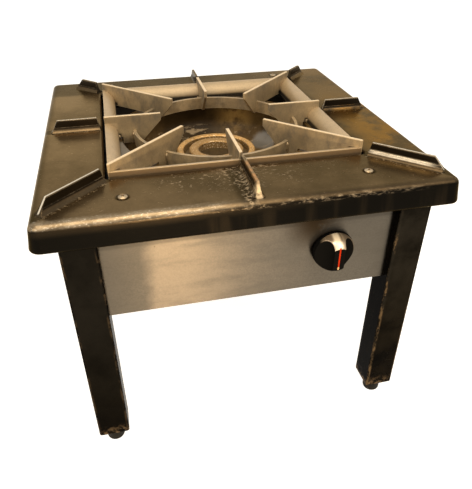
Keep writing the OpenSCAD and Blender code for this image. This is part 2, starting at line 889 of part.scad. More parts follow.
module leg(sx, sy) {
    color(ENAMEL) difference() {
        translate([sx * leg_x, sy * leg_y, leg_bottom]) linear_extrude(under_z - leg_bottom) difference() {
            rounded_square(leg_w, leg_r);
            rounded_square(leg_w - 2 * leg_t, leg_r - leg_t);
        }
        at_panel_screws() translate([0, 0, -eps])
            cylinder(r = panel_screw_r + hole_gap, h = leg_t + sheet_t + 2 * eps);
    }
}

module foot_bushes() {
    color(STEEL) at_legs() translate([0, 0, leg_bottom]) difference() {
        linear_extrude(bush_t) rounded_square(leg_w - 2 * leg_t, leg_r - leg_t);
        translate([0, 0, -eps]) cylinder(r = stud_r + fit_gap, h = bush_t + 2 * eps);
    }
}

module foot_lock_nuts() {
    color(STEEL) at_legs() translate([0, 0, pad_h]) difference() {
        hex(1.85 * stud_r, foot_nut_h);
        translate([0, 0, -eps]) cylinder(r = stud_r + fit_gap, h = foot_nut_h + 2 * eps);
    }
}

module foot(sx, sy) {
    edge = pad_r / 3;
    color(BLACK) translate([sx * leg_x, sy * leg_y, 0]) {
        rotate_extrude() {
            translate([0, edge]) square([pad_r, pad_h - edge]);
            square([pad_r - edge, pad_h]);
            translate([pad_r - edge, edge]) circle(edge);
        }
        translate([0, 0, pad_h - eps]) cylinder(r = stud_r, h = stud_l + eps);
    }
}

// Panels

// Panel in the XZ plane facing -Y at y = 0, with flanges to the back
module folded_panel(width, upper) {
    tall = under_z - panel_z;
    translate([-width / 2, 0, panel_z]) {
        cube([width, sheet_t, tall]);
        cube([width, hem_d, sheet_t]);
        translate([0, 0, tall - sheet_t]) cube([width, upper, sheet_t]);
        for (x = [0, width - sheet_t]) translate([x, 0, 0]) cube([sheet_t, side_flange, tall]);
    }
}

// Panel screws from inside into the legs, with Z into the leg, from the inner face of the flange
module at_panel_screws() {
    for (sx = [0, 1], sy = [0, 1], z = panel_screw_rows) mirror([sx, 0, 0]) mirror([0, sy, 0]) {
        translate([leg_in_x - sheet_t, leg_y, z]) rotate([0, 90, 0]) children();
        translate([leg_x, leg_in_y - sheet_t, z]) rotate([-90, 0, 0]) children();
    }
}

module screw_holes() {
    at_panel_screws() translate([0, 0, -eps]) cylinder(r = panel_screw_r + hole_gap, h = sheet_t + 2 * eps);
}

module plate_screw_holes() {
    at_plate_screws() translate([0, 0, -plate_t - sheet_t - eps])
        cylinder(r = plate_screw_r + hole_gap, h = sheet_t + 2 * eps);
}

module front_panel() {
    color(STEEL) difference() {
        translate([0, -panel_y, 0]) folded_panel(2 * leg_in_x, screw_flange);
        screw_holes();
        plate_screw_holes();
        at_tap() translate([0, 0, -eps]) cylinder(r = neck_r + hole_gap, h = sheet_t + 2 * eps);
    }
}

module rear_panel() {
    color(STEEL) difference() {
        translate([0, panel_y, 0]) rotate(180) folded_panel(2 * leg_in_x, screw_flange);
        screw_holes();
        plate_screw_holes();
        translate([supply_x, panel_y + eps, run_z]) rotate([90, 0, 0])
            cylinder(r = nipple_shank_r + hole_gap, h = sheet_t + 2 * eps);
    }
}

module side_panel(sx) {
    color(STEEL) difference() {
        translate([sx * panel_x, 0, 0]) rotate(sx * 90) folded_panel(2 * leg_in_y, side_flange);
        screw_holes();
        strap_screw_holes();
    }
}

module panel_screws() {
    color(STEEL) at_panel_screws() hex_screw(panel_screw_r, sheet_t + leg_t + screw_end);
}

// Gas tap and knob

module tap_body() {
    chamber_r = plug_r + fit_gap;
    color(BRASS) at_tap() difference() {
        union() {
            translate([0, 0, -neck_l]) cylinder(r = neck_r, h = neck_l + sheet_t + eps);
            translate([0, 0, sheet_t]) cylinder(r = tap_r, h = tap_l);
            translate([0, 0, port_plane]) rotate([0, -90, 0]) cylinder(r = boss_r, h = tap_r + boss_l);
            translate([0, 0, inlet_plane]) rotate([0, 90, 0]) cylinder(r = boss_r, h = tap_r + boss_l);
            translate([0, 0, inlet_plane]) rotate([-90, 0, 0])
                cylinder(r = pilot_boss_r, h = tap_r + pilot_boss_l);
        }
        translate([0, 0, plug_front]) cylinder(r = chamber_r, h = sheet_t + tap_l - plug_front + eps);
        translate([0, 0, -neck_l - eps]) cylinder(r = spindle_r + hole_gap, h = neck_l + plug_front + 2 * eps);
        translate([0, 0, port_plane]) rotate([0, -90, 0]) cylinder(r = gas_bore_r, h = tap_r + boss_l + eps);
        translate([0, 0, inlet_plane]) rotate([0, 90, 0]) cylinder(r = gas_bore_r, h = tap_r + boss_l + eps);
        translate([0, 0, inlet_plane]) rotate([-90, 0, 0]) cylinder(r = pilot_bore_r, h = tap_r + boss_l);
    }
}

module tap_cap() {
    color(BRASS) at_tap() translate([0, 0, sheet_t + tap_l]) {
        hex(tap_r, cap_t);
        cylinder(r = tap_r / 2, h = cap_t + tail_l);
    }
}

// Plug with a wide port that meets the outlet at a quarter turn, and a fine one that meets it at a half turn
module tap_plug() {
    gas_l = 15;
    color(BRASS) at_tap() translate([0, 0, plug_front + plug_gap]) difference() {
        cylinder(r = plug_r, h = plug_l);
        translate([0, 0, -eps]) cylinder(r = spindle_r + fit_gap, h = socket_l + eps);
        translate([0, 0, plug_l - gas_l]) cylinder(r = plug_r / 2, h = gas_l + eps);
        translate([0, 0, port_plane - plug_front - plug_gap]) {
            rotate([90, 0, 0]) cylinder(r = wide_port_r, h = plug_r + eps);
            rotate([0, 90, 0]) cylinder(r = fine_port_r, h = plug_r + eps);
        }
    }
}

module tap_nut() {
    color(STEEL) at_tap() translate([0, 0, -nut_t]) difference() {
        hex(neck_r + hex_wall, nut_t);
        translate([0, 0, -eps]) cylinder(r = neck_r + fit_gap, h = nut_t + 2 * eps);
    }
}

// Spindle from inside the knob into the plug, short of the plug's socket by more than the push
module spindle() {
    front = knob_gap + knob_h - knob_front_t;
    back = plug_front + socket_l - knob_push - socket_spare;
    color(STEEL) at_tap() translate([0, 0, -front]) cylinder(r = spindle_r, h = front + back);
}

// Upright position of the knob: Z out of the panel, Y up
module at_knob() {
    at_tap() translate([0, 0, -knob_gap]) rotate([180, 0, 0]) children();
}

module knob_section() {
    skirt_r = knob_r - skirt_step;
    front_sq = knob_front_r * knob_front_r + knob_h * knob_h;
    skirt_sq = skirt_r * skirt_r + skirt_h * skirt_h;
    dome_z = (front_sq - skirt_sq) / (2 * (knob_h - skirt_h));
    dome_r = norm([skirt_r, skirt_h - dome_z]);
    square([skirt_r, skirt_h]);
    translate([0, skirt_edge]) square([knob_r, skirt_h - 2 * skirt_edge]);
    intersection() {
        translate([0, dome_z]) circle(dome_r);
        square([knob_r, knob_h]);
    }
}

module knob() {
    scoop_r = knob_h - knob_base_h;
    cavity_r = neck_r + 8;
    color(BLACK) at_knob() difference() {
        rotate_extrude() knob_section();
        for (sx = [-1, 1]) translate([sx * (grip_t / 2 + scoop_r), 0, knob_h]) rotate([90, 0, 0])
            cylinder(r = scoop_r, h = 3 * knob_r, center = true);
        translate([0, 0, -eps]) cylinder(r = cavity_r, h = neck_l + eps);
        translate([0, 0, -eps]) cylinder(r = spindle_r + fit_gap, h = knob_h - knob_front_t + eps);
        translate([-pointer_w / 2, -knob_r, knob_h - pointer_d]) cube([pointer_w, 2 * knob_r, 2 * pointer_d]);
    }
}

module pointer_strip(from, to) {
    at_knob() translate([-pointer_w / 2, from, knob_h - pointer_d]) cube([pointer_w, to - from, pointer_d]);
}

module knob_pointer() {
    color("red") pointer_strip(-knob_front_r + tip_l, knob_front_r);
}

module pointer_tip() {
    color("ivory") pointer_strip(-knob_front_r, -knob_front_r + tip_l);
}

// Gas pipes

module supply_pipe() {
    color(COPPER) bent_rod([
        inlet_end, [supply_x, inlet_y, tap_z], [supply_x, inlet_y, run_z], nipple_end
    ], supply_r, bend_r);
}

module burner_pipe() {
    color(COPPER) bent_rod([
        outlet_end, [0, outlet_y, tap_z], [0, outlet_y, run_z], injector_end
    ], burner_pipe_r, bend_r);
}

// Union nut round a pipe, from a point along a direction
module union_nut(at, along, r) {
    difference() {
        facing(at, along) hex(r + hex_wall, union_t);
        facing(at - along * eps, along) cylinder(r = r + fit_gap, h = union_t + 2 * eps);
    }
}

module union_nuts() {
    color(BRASS) {
        union_nut(inlet_end, [1, 0, 0], supply_r);
        union_nut(outlet_end, [-1, 0, 0], burner_pipe_r);
        union_nut(injector_end, [0, -1, 0], burner_pipe_r);
        union_nut(nipple_end, [0, -1, 0], supply_r);
    }
}

module inlet_nipple() {
    color(BRASS) translate(nipple_end) rotate([-90, 0, 0]) difference() {
        union() {
            hex(nipple_shank_r + hex_wall, nipple_hex_t);
            cylinder(r = nipple_shank_r, h = nipple_hex_t + sheet_t + nipple_nut_t);
            cylinder(r = nipple_r, h = nipple_hex_t + sheet_t + nipple_l);
        }
        translate([0, 0, eps]) cylinder(r = nipple_r - nipple_wall, h = nipple_hex_t + sheet_t + nipple_l);
    }
}

module inlet_nut() {
    color(BRASS) translate([supply_x, panel_y, run_z]) rotate([-90, 0, 0]) difference() {
        hex(nipple_shank_r + hex_wall, nipple_nut_t);
        translate([0, 0, -eps]) cylinder(r = nipple_shank_r + fit_gap, h = nipple_nut_t + 2 * eps);
    }
}

// Stem with a shoulder on the strap
module pilot_stem(tip_r) {
    translate([0, 0, strap_z]) hex(pilot_nut_r, pilot_nut_t);
    translate([0, 0, strap_z - stem_l]) cylinder(r = stem_r, h = stem_l + eps);
    translate([0, 0, strap_z]) cylinder(r = tip_r, h = pilot_h);
}

module pilot_burner() {
    hood_h = 9;
    hood_r = 5.5;
    hood_t = 1.5;
    hood_floor = 3;
    color(BRASS) translate([pilot_x, pilot_y, 0]) {
        pilot_stem(2.5);
        translate([0, 0, strap_z + pilot_h - hood_h]) rotate(180 + pilot_angle) difference() {
            cylinder(r = hood_r, h = hood_h);
            translate([0, 0, hood_floor]) cylinder(r = hood_r - hood_t, h = hood_h);
            translate([0, -hood_r - eps, hood_floor]) cube([hood_r + eps, 2 * (hood_r + eps), hood_h]);
        }
    }
}

module thermocouple() {
    color(STEEL) translate([thermocouple_x, thermocouple_y, 0]) pilot_stem(2.2);
}

module pilot_pipe() {
    color(COPPER) bent_rod([
        pilot_end, [knob_x, inlet_y, pilot_run_z], [pilot_x, inlet_y, pilot_run_z],
        [pilot_x, pilot_y, pilot_run_z], [pilot_x, pilot_y, strap_z - stem_l]
    ], pilot_pipe_r, small_bend);
}

module thermocouple_lead() {
    drop_y = tail_y + lead_reach;
    color(COPPER) bent_rod([
        [knob_x, tail_y, tap_z], [knob_x, drop_y, tap_z], [knob_x, drop_y, lead_z],
        [knob_x, thermocouple_y, lead_z], [thermocouple_x, thermocouple_y, lead_z],
        [thermocouple_x, thermocouple_y, strap_z - stem_l]
    ], lead_r, small_bend);
}

top_plate();
plate_screws();
plate_nuts();
rail(-90);  // rail_front
rail(0);  // rail_right
rail(90);  // rail_back
rail(180);  // rail_left
side_fin(-90);  // side_fin_front
side_fin(0);  // side_fin_right
side_fin(90);  // side_fin_back
side_fin(180);  // side_fin_left
corner_fin(-45);  // corner_fin_front_right
corner_fin(45);  // corner_fin_back_right
corner_fin(135);  // corner_fin_back_left
corner_fin(-135);  // corner_fin_front_left
ring_segments();
drip_bowl();
burner_strap();
strap_screws();
burner_body();
outer_flame_ring();
inner_flame_ring();
burner_bolts();
mixing_tube();
air_shutter();
injector_holder();
injector();
leg(-1, -1);  // leg_front_left
leg(1, -1);  // leg_front_right
leg(-1, 1);  // leg_rear_left
leg(1, 1);  // leg_rear_right
foot_bushes();
foot_lock_nuts();
foot(-1, -1);  // foot_front_left
foot(1, -1);  // foot_front_right
foot(-1, 1);  // foot_rear_left
foot(1, 1);  // foot_rear_right
front_panel();
rear_panel();
side_panel(-1);  // left_panel
side_panel(1);  // right_panel
panel_screws();
tap_body();
tap_cap();
tap_plug();
tap_nut();
spindle();
knob();
knob_pointer();
pointer_tip();
supply_pipe();
burner_pipe();
union_nuts();
inlet_nipple();
inlet_nut();
pilot_burner();
pilot_pipe();
thermocouple();
thermocouple_lead();
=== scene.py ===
import math
import random

import bmesh
import bpy
from bpy.props import FloatProperty, FloatVectorProperty, IntProperty, PointerProperty
from mathutils import Matrix, Vector


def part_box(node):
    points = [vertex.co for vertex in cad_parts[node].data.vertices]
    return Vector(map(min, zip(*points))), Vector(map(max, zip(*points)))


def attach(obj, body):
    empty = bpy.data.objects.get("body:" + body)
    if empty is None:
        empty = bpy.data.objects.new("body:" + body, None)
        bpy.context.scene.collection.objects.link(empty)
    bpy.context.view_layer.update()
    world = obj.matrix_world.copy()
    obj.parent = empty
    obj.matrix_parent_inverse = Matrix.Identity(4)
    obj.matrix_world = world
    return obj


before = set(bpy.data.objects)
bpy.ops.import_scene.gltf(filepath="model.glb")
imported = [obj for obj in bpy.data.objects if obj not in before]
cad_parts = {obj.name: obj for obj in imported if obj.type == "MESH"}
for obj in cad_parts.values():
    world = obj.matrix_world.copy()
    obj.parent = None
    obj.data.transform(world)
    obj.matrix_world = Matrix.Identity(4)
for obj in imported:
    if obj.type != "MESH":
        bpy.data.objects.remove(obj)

bl_info = {
    "name": "Stockpot stove looks",
    "version": (1, 0, 0),
    "blender": (4, 5, 0),
    "location": "View3D > Sidebar > Stove",
    "description": "Finishes, weld beads, threads and studio of the stockpot stove",
    "category": "Object",
}

# Nodes that share a finish
FINS = [
    "side_fin_front", "side_fin_right", "side_fin_back", "side_fin_left",
    "corner_fin_front_right", "corner_fin_back_right", "corner_fin_back_left", "corner_fin_front_left",
]
RAILS = ["rail_front", "rail_right", "rail_back", "rail_left"]
LEGS = ["leg_front_left", "leg_front_right", "leg_rear_left", "leg_rear_right"]
FEET = ["foot_front_left", "foot_front_right", "foot_rear_left", "foot_rear_right"]
PANELS = ["front_panel", "rear_panel", "left_panel", "right_panel"]

# Places that the finishes follow, in metres, from the frame
LEFT, FRONT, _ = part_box("top_plate")[0]
RIB_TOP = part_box("top_plate")[1].z
RAIL_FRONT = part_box("rail_front")[0].y
RAIL_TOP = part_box("rail_front")[1].z
RAIL_INNER, RAIL_OUTER = (corner.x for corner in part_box("rail_right"))
OPENING_Y = (RAIL_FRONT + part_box("rail_back")[1].y) / 2
PANEL_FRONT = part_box("front_panel")[0].y
LEG_LOW, LEG_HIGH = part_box("leg_front_right")
KNOB_LOW, KNOB_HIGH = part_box("knob")

# Sizes of the top that no box gives
RIB_RISE = 0.02
RIM_ROUND = 0.009
PLATE_TOP = RIB_TOP - RIB_RISE

# Lamps: name, place, aim, width and height, setting of the power, setting of the tint
LAMPS = (
    ("Top", (-0.2, -0.4, 2.3), (-0.2, 0, 0.4), (1.0, 1.6), "top_power", "light"),
    ("Front", (0.86, -1.35, 1.85), (0, -0.2, 0.35), (0.9, 1.1), "front_power", "light"),
    ("Side", (-1.3, -1.3, 1.7), (0, -0.1, 0.4), (1.0, 1.0), "side_power", "light"),
    ("Low", (-0.05, -1.5, 0.45), (0, -0.27, 0.37), (0.3, 0.15), "low_power", "low_light"),
)


def colour(name, description, value):
    """A colour setting."""
    return FloatVectorProperty(
        name=name, description=description, default=value, size=3, min=0, max=1, subtype="COLOR")


def length(name, description, value):
    """A length setting, in metres."""
    return FloatProperty(name=name, description=description, default=value, min=0, unit="LENGTH", precision=4)


def power(name, description, value):
    """A setting of a lamp's power, in watts."""
    return FloatProperty(name=name, description=description, default=value, unit="POWER")


class StoveFinish(bpy.types.PropertyGroup):
    """Colours of the finishes."""

    enamel: colour("Enamel", "Black enamel of the top and the legs", (0.0052, 0.0045, 0.0034))
    # Brown film of baked-on grease, partly painted reflection; also the painted reflections on the rim's
    # front
    enamel_grime_and_reflection: colour("Grime", "Baked-on brown film on the enamel, partly painted reflection", (0.27, 0.183, 0.094))
    enamel_ochre: colour("Ochre film", "Thicker film on the right of the top", (0.26, 0.135, 0.034))
    # Pale worn enamel; also the colour of the painted highlights on the rim and the rib crests
    enamel_worn_and_highlight: colour("Worn enamel", "Pale flecks where the enamel has worn through", (0.4, 0.31, 0.2))
    # Painted highlight on the ribs and the rim
    enamel_highlight: colour("Painted highlight", "Bright glints on ribs and rim", (0.95, 0.85, 0.68))
    # Brown wear on the legs; also painted shade on the front rail's face
    enamel_tan_and_shade: colour("Brown wear", "Wear on the legs, and painted shade on the front rail's face", (0.17, 0.11, 0.055))
    top_gloss: colour("Gloss of the top", "Tint of reflections seen edge on", (0.62, 0.55, 0.44))
    leg_gloss: colour("Gloss of the legs", "Tint of reflections seen edge on", (0.06, 0.052, 0.04))
    rust: colour("Rust", "Rust on the front rib", (0.42, 0.23, 0.1))
    steel: colour("Stainless steel", "Brushed steel of the panels", (0.11, 0.096, 0.076))
    # Painted reflection: the warm bright band on the panels
    steel_reflection: colour("Warm steel", "Band of the panels that shows a warm tint", (0.212, 0.172, 0.126))
    heat_stain: colour("Heat stain", "Brown stain on the front panel", (0.035, 0.021, 0.009))
    soot: colour("Soot", "Sooty inner side of the panels", (0.012, 0.009, 0.006))
    grate: colour("Pan support", "Heat-tinted steel of the pan support", (0.43, 0.325, 0.19))
    grate_smoke: colour("Grey smears", "Smears on the pan support and the legs", (0.16, 0.135, 0.1))
    grate_rail: colour("Pan support rails", "Paler steel of the rounded rails", (0.47, 0.355, 0.215))
    # Pale edges of the pan support; also painted highlight on its top faces
    grate_pale_and_highlight: colour("Pan support edges", "Pale edges and painted highlight of the pan support", (0.8, 0.64, 0.42))
    bowl: colour("Drip bowl", "Burnt enamel of the bowl", (0.085, 0.053, 0.022))
    bowl_gold: colour("Golden bowl", "Golden burnt patches of the bowl", (0.4, 0.25, 0.085))
    # Pale bluish patches of the bowl
    bowl_bluish: colour("Bluish bowl", "Pale bluish patches of the bowl", (0.22, 0.207, 0.188))
    flame_ring: colour("Flame rings", "Heat-tinted burner rings", (0.6, 0.35, 0.115))
    burnt: colour("Burnt casting", "Burner body under the flame rings", (0.11, 0.068, 0.022))
    iron: colour("Cast iron", "Mixing tube", (0.055, 0.045, 0.035))
    brass: colour("Brass", "Tap, unions and inlet", (0.72, 0.5, 0.22))
    copper: colour("Copper", "Gas pipes", (0.72, 0.36, 0.2))
    zinc: colour("Zinc", "Screws and nuts", (0.5, 0.44, 0.35))
    plate_screw: colour("Plate screws", "Screws of the top, browned by heat", (0.47, 0.36, 0.22))
    knob: colour("Knob", "Black plastic", (0.006, 0.006, 0.006))
    # Painted sheen on the knob's dome
    knob_sheen: colour("Knob sheen", "Painted sheen on the knob's upper dome", (0.5, 0.4, 0.29))
    # Painted highlight on the knob's dome
    knob_highlight: colour("Knob highlight", "Palest stripe of the knob's dome", (0.9, 0.8, 0.64))
    pointer: colour("Pointer", "Red pointer line", (0.42, 0.027, 0.006))
    pointer_tip: colour("Pointer tip", "Pale end of the pointer line", (0.62, 0.43, 0.22))
    foot: colour("Feet", "Black plastic of the feet", (0.012, 0.011, 0.009))


class StoveDetail(bpy.types.PropertyGroup):
    """Sizes of the small details."""

    edge_round: length("Edge rounding", "Radius by which sharp edges are shaded round", 0.0008)
    press_round: length("Pressed edges", "Radius by which the edges of the enamel are shaded round", 0.0022)
    weld_radius: length("Weld bead radius", "Radius of a weld bead", 0.0028)
    weld_step: length("Weld step", "Distance between the ripples of a bead", 0.0022)
    knob_dome_back: length("Knob dome", "From the knob's back to the middle of its dome", 0.0043)
    thread_pitch: length("Thread pitch", "Pitch of the gas inlet's thread", 0.00181)
    seed: IntProperty(name="Seed", description="Seed of the small irregularities", default=7, min=0)


class StoveStage(bpy.types.PropertyGroup):
    """Studio and camera."""

    floor: colour("Floor", "Pale floor", (0.82, 0.82, 0.81))
    room: colour("Room", "Warm light from all round", (0.3, 0.255, 0.19))
    glow: FloatProperty(
        name="Floor glow", description="White that the floor adds where it is seen",
        default=0.83, min=0, max=1)
    light: colour("Lamp tint", "Colour of the lamps", (1.0, 0.86, 0.66))
    low_light: colour("Low lamp tint", "Colour of the low lamp", (1.0, 0.74, 0.44))
    top_power: power("Top light", "Power of the lamp overhead", 27)
    front_power: power("Front light", "Power of the lamp at the front", 16)
    side_power: power("Side light", "Power of the lamp on the left", 15)
    low_power: power("Low light", "Power of the low lamp at the front", 10)
    camera: FloatVectorProperty(
        name="Camera", description="Place of the camera",
        default=(-0.168, -0.8713, 0.7952), subtype="XYZ", unit="LENGTH")
    aim: FloatVectorProperty(
        name="Viewing direction", description="Direction in which the camera looks",
        default=(0.1871, 0.8089, -0.5573), subtype="XYZ")
    lens: FloatProperty(name="Lens", description="Focal length in millimetres", default=38.42, min=10)


def empty_tree(owner):
    """Node tree of a material or a world, with nothing in it."""
    owner.use_nodes = True
    owner.node_tree.nodes.clear()
    return owner.node_tree


class Graph:
    """Short forms for the nodes of one material; lengths are in metres."""

    def __init__(self, name):
        self.material = bpy.data.materials.new(name)
        self.tree = empty_tree(self.material)
        self.shader = self.node("ShaderNodeBsdfPrincipled")
        output = self.node("ShaderNodeOutputMaterial")
        self.tree.links.new(self.shader.outputs["BSDF"], output.inputs["Surface"])
        self.place = self.node("ShaderNodeTexCoord").outputs["Object"]
        axes = self.node("ShaderNodeSeparateXYZ")
        self.tree.links.new(self.place, axes.inputs[0])
        self.x, self.y, self.z = axes.outputs

    def node(self, kind, **settings):
        """A new node with some of its settings."""
        made = self.tree.nodes.new(kind)
        for key, value in settings.items():
            setattr(made, key, value)
        return made

    def feed(self, socket, value):
        """Links an output to a socket, or sets a constant on it."""
        if isinstance(value, bpy.types.NodeSocket):
            self.tree.links.new(value, socket)
        elif socket.type == "RGBA" and len(value) == 3:
            socket.default_value = (*value, 1.0)
        else:
            socket.default_value = value

    def fill(self, made, **inputs):
        """Feeds inputs of a node by their names."""
        for name, value in inputs.items():
            self.feed(made.inputs[name.replace("_", " ")], value)

    def math(self, operation, a, b=0.0):
        """One operation on one or two values."""
        made = self.node("ShaderNodeMath", operation=operation)
        self.feed(made.inputs[0], a)
        self.feed(made.inputs[1], b)
        return made.outputs[0]

    def chain(self, operation, values):
        """One operation over all the values, from the first to the last."""
        result = values[0]
        for value in values[1:]:
            result = self.math(operation, result, value)
        return result

    def add(self, *values):
        """Sum of the values."""
        return self.chain("ADD", values)

    def times(self, *values):
        """Product of the values."""
        return self.chain("MULTIPLY", values)

    def most(self, *values):
        """Largest of the values."""
        return self.chain("MAXIMUM", values)

    def rest(self, value):
        """1 less the value."""
        return self.math("SUBTRACT", 1.0, value)

    def apart(self, value, middle=0.0):
        """Distance of a value from a middle, on either side of it."""
        return self.math("ABSOLUTE", self.add(value, -middle))

    def step(self, value, low, high):
        """0 below low, 1 above high, smooth between; low above high turns it round."""
        made = self.node("ShaderNodeMapRange", interpolation_type="SMOOTHSTEP")
        self.fill(made, Value=value, From_Min=min(low, high), From_Max=max(low, high))
        self.fill(made, To_Min=float(low > high), To_Max=float(low < high))
        return made.outputs["Result"]

    def band(self, value, low, full_low, full_high, high):
        """1 from full_low to full_high, falling to 0 at low and at high."""
        return self.times(self.step(value, low, full_low), self.step(value, high, full_high))

    def spread(self, value, low, high):
        """Takes 0 to 1 into low to high."""
        made = self.node("ShaderNodeMapRange")
        self.fill(made, Value=value, To_Min=low, To_Max=high)
        return made.outputs["Result"]

    def moved(self, scale, turn=(0, 0, 0)):
        """Places of the object, stretched and turned for a texture."""
        made = self.node("ShaderNodeMapping")
        self.fill(made, Vector=self.place, Scale=scale, Rotation=turn)
        return made.outputs["Vector"]

    def noise(self, scale, detail, roughness=0.6, vector=None):
        """Cloudy noise around 0.5, with scale clouds to a metre."""
        made = self.node("ShaderNodeTexNoise")
        self.fill(made, Vector=vector or self.place, Scale=scale, Detail=detail, Roughness=roughness)
        return made.outputs["Fac"]

    def patchy(self, low, high, *noise):
        """Noise sharpened into patches: 0 where it is below low, 1 where it is above high."""
        return self.step(self.noise(*noise), low, high)

    def mottle(self, low, high, *noise):
        """Noise taken into low to high."""
        return self.spread(self.noise(*noise), low, high)

    def cells(self, scale):
        """Node of cells, with scale cells to a metre."""
        made = self.node("ShaderNodeTexVoronoi")
        self.fill(made, Vector=self.place, Scale=scale)
        return made

    def blend(self, factor, a, b):
        """Colour a at factor 0, colour b at 1."""
        made = self.node("ShaderNodeMix", data_type="RGBA")
        self.feed(made.inputs[0], factor)
        self.feed(made.inputs[6], a)
        self.feed(made.inputs[7], b)
        return made.outputs[2]

    def coats(self, base, *coats):
        """A base colour under coats, each with its strength and its colour, laid one after the other."""
        for strength, tint in coats:
            base = self.blend(strength, base, tint)
        return base

    def away(self, point):
        """Distance from a point of the object."""
        made = self.node("ShaderNodeVectorMath", operation="DISTANCE")
        self.feed(made.inputs[0], self.place)
        made.inputs[1].default_value = point
        return made.outputs["Value"]

    def near(self, point, reach):
        """1 at a point of the object, falling to 0 at the distance reach."""
        return self.step(self.away(point), reach, 0.0)

    def upward(self, low, high):
        """0 on faces as steep as low, 1 on those as level as high, by the upright part of the normal."""
        axes = self.node("ShaderNodeSeparateXYZ")
        self.feed(axes.inputs[0], self.node("ShaderNodeNewGeometry").outputs["Normal"])
        return self.step(axes.outputs["Z"], low, high)

    def edge(self, radius, samples=6):
        """1 along sharp edges, within about the radius, and 0 on open faces."""
        bevel = self.node("ShaderNodeBevel", samples=samples)
        self.fill(bevel, Radius=radius)
        flat = self.node("ShaderNodeNewGeometry").outputs["Normal"]
        dot = self.node("ShaderNodeVectorMath", operation="DOT_PRODUCT")
        self.feed(dot.inputs[0], bevel.outputs[0])
        self.feed(dot.inputs[1], flat)
        return self.step(dot.outputs["Value"], 0.995, 0.85)

    def relief(self, height, distance, strength, round_edges):
        """Bump from a height, over edges shaded round."""
        bevel = self.node("ShaderNodeBevel", samples=4)
        self.fill(bevel, Radius=round_edges)
        bump = self.node("ShaderNodeBump")
        self.fill(bump, Strength=strength, Distance=distance, Height=height, Normal=bevel.outputs[0])
        self.fill(self.shader, Normal=bump.outputs[0])

    def finish(self, base, roughness, metallic, **constants):
        """The material, with its shader's main inputs and constants on others."""
        self.fill(self.shader, Base_Color=base, Roughness=roughness, Metallic=metallic, **constants)
        return self.material


def shade(tint, factor):
    """A darker or paler tint."""
    return tuple(min(1.0, part * factor) for part in tint)


def dress(material, slot, *names):
    """Gives CAD nodes a material; the slot is not used."""
    for name in names:
        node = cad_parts[name]
        node.data.materials.clear()
        node.data.materials.append(material)


def settings(context):
    """The colours, the details and the stage of the scene."""
    scene = context.scene
    return scene.stove_finish, scene.stove_detail, scene.stove_stage


def new_piece(name, mesh, material, body):
    """Links a mesh as a piece that rides on a CAD body."""
    made = bpy.data.objects.new(name, mesh)
    bpy.context.scene.collection.objects.link(made)
    made.data.materials.append(material)
    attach(made, body)


def ahead_of(g, y):
    """1 on the front side of a line across the top."""
    soft = 0.012
    return g.step(g.y, y, y - soft)


def on_right(g):
    """0 on the left half of the stove, 1 on the right."""
    return g.step(g.x, 0.0, 0.1)


def near_ribs(g, far, close):
    """1 within the distance close of the middle of the side and front corner ribs, 0 beyond far."""
    wide = g.apart(g.x)
    back = g.add(g.y, -OPENING_Y)
    on_side = g.step(wide, RAIL_OUTER - 0.004, RAIL_OUTER + 0.006)
    in_corner = g.times(
        g.step(wide, RAIL_OUTER - 0.014, RAIL_OUTER - 0.004),
        g.step(g.y, RAIL_FRONT + 0.017, RAIL_FRONT + 0.007))
    slant = g.times(g.apart(g.add(wide, back)), math.sqrt(0.5))
    side_rib = g.times(g.step(g.apart(back), far, close), on_side)
    corner_rib = g.times(g.step(slant, far, close), in_corner)
    return g.most(side_rib, corner_rib)


def screw_dimple(g):
    """1 in the dimples of the top's screws."""
    head = 0.006
    low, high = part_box("plate_screws")
    middle = (low + high) / 2
    reach = (high - low) / 2 - Vector((head, head, 0))
    across = g.add(g.apart(g.x, middle.x), -reach.x)
    along = g.add(g.apart(g.y, middle.y), -reach.y)
    away = g.math("SQRT", g.add(g.times(across, across), g.times(along, along)))
    return g.times(g.step(away, 0.0115, 0.0085), g.step(g.z, PLATE_TOP - 0.008, PLATE_TOP - 0.0055))


def leg_corner(g):
    """1 along the upright corners of the legs."""
    middle = (LEG_LOW + LEG_HIGH) / 2
    half = (LEG_HIGH.x - LEG_LOW.x) / 2
    across = g.apart(g.apart(g.x), middle.x)
    along = g.apart(g.apart(g.y), -middle.y)
    return g.step(g.math("MINIMUM", across, along), half - 0.005, half - 0.0015)


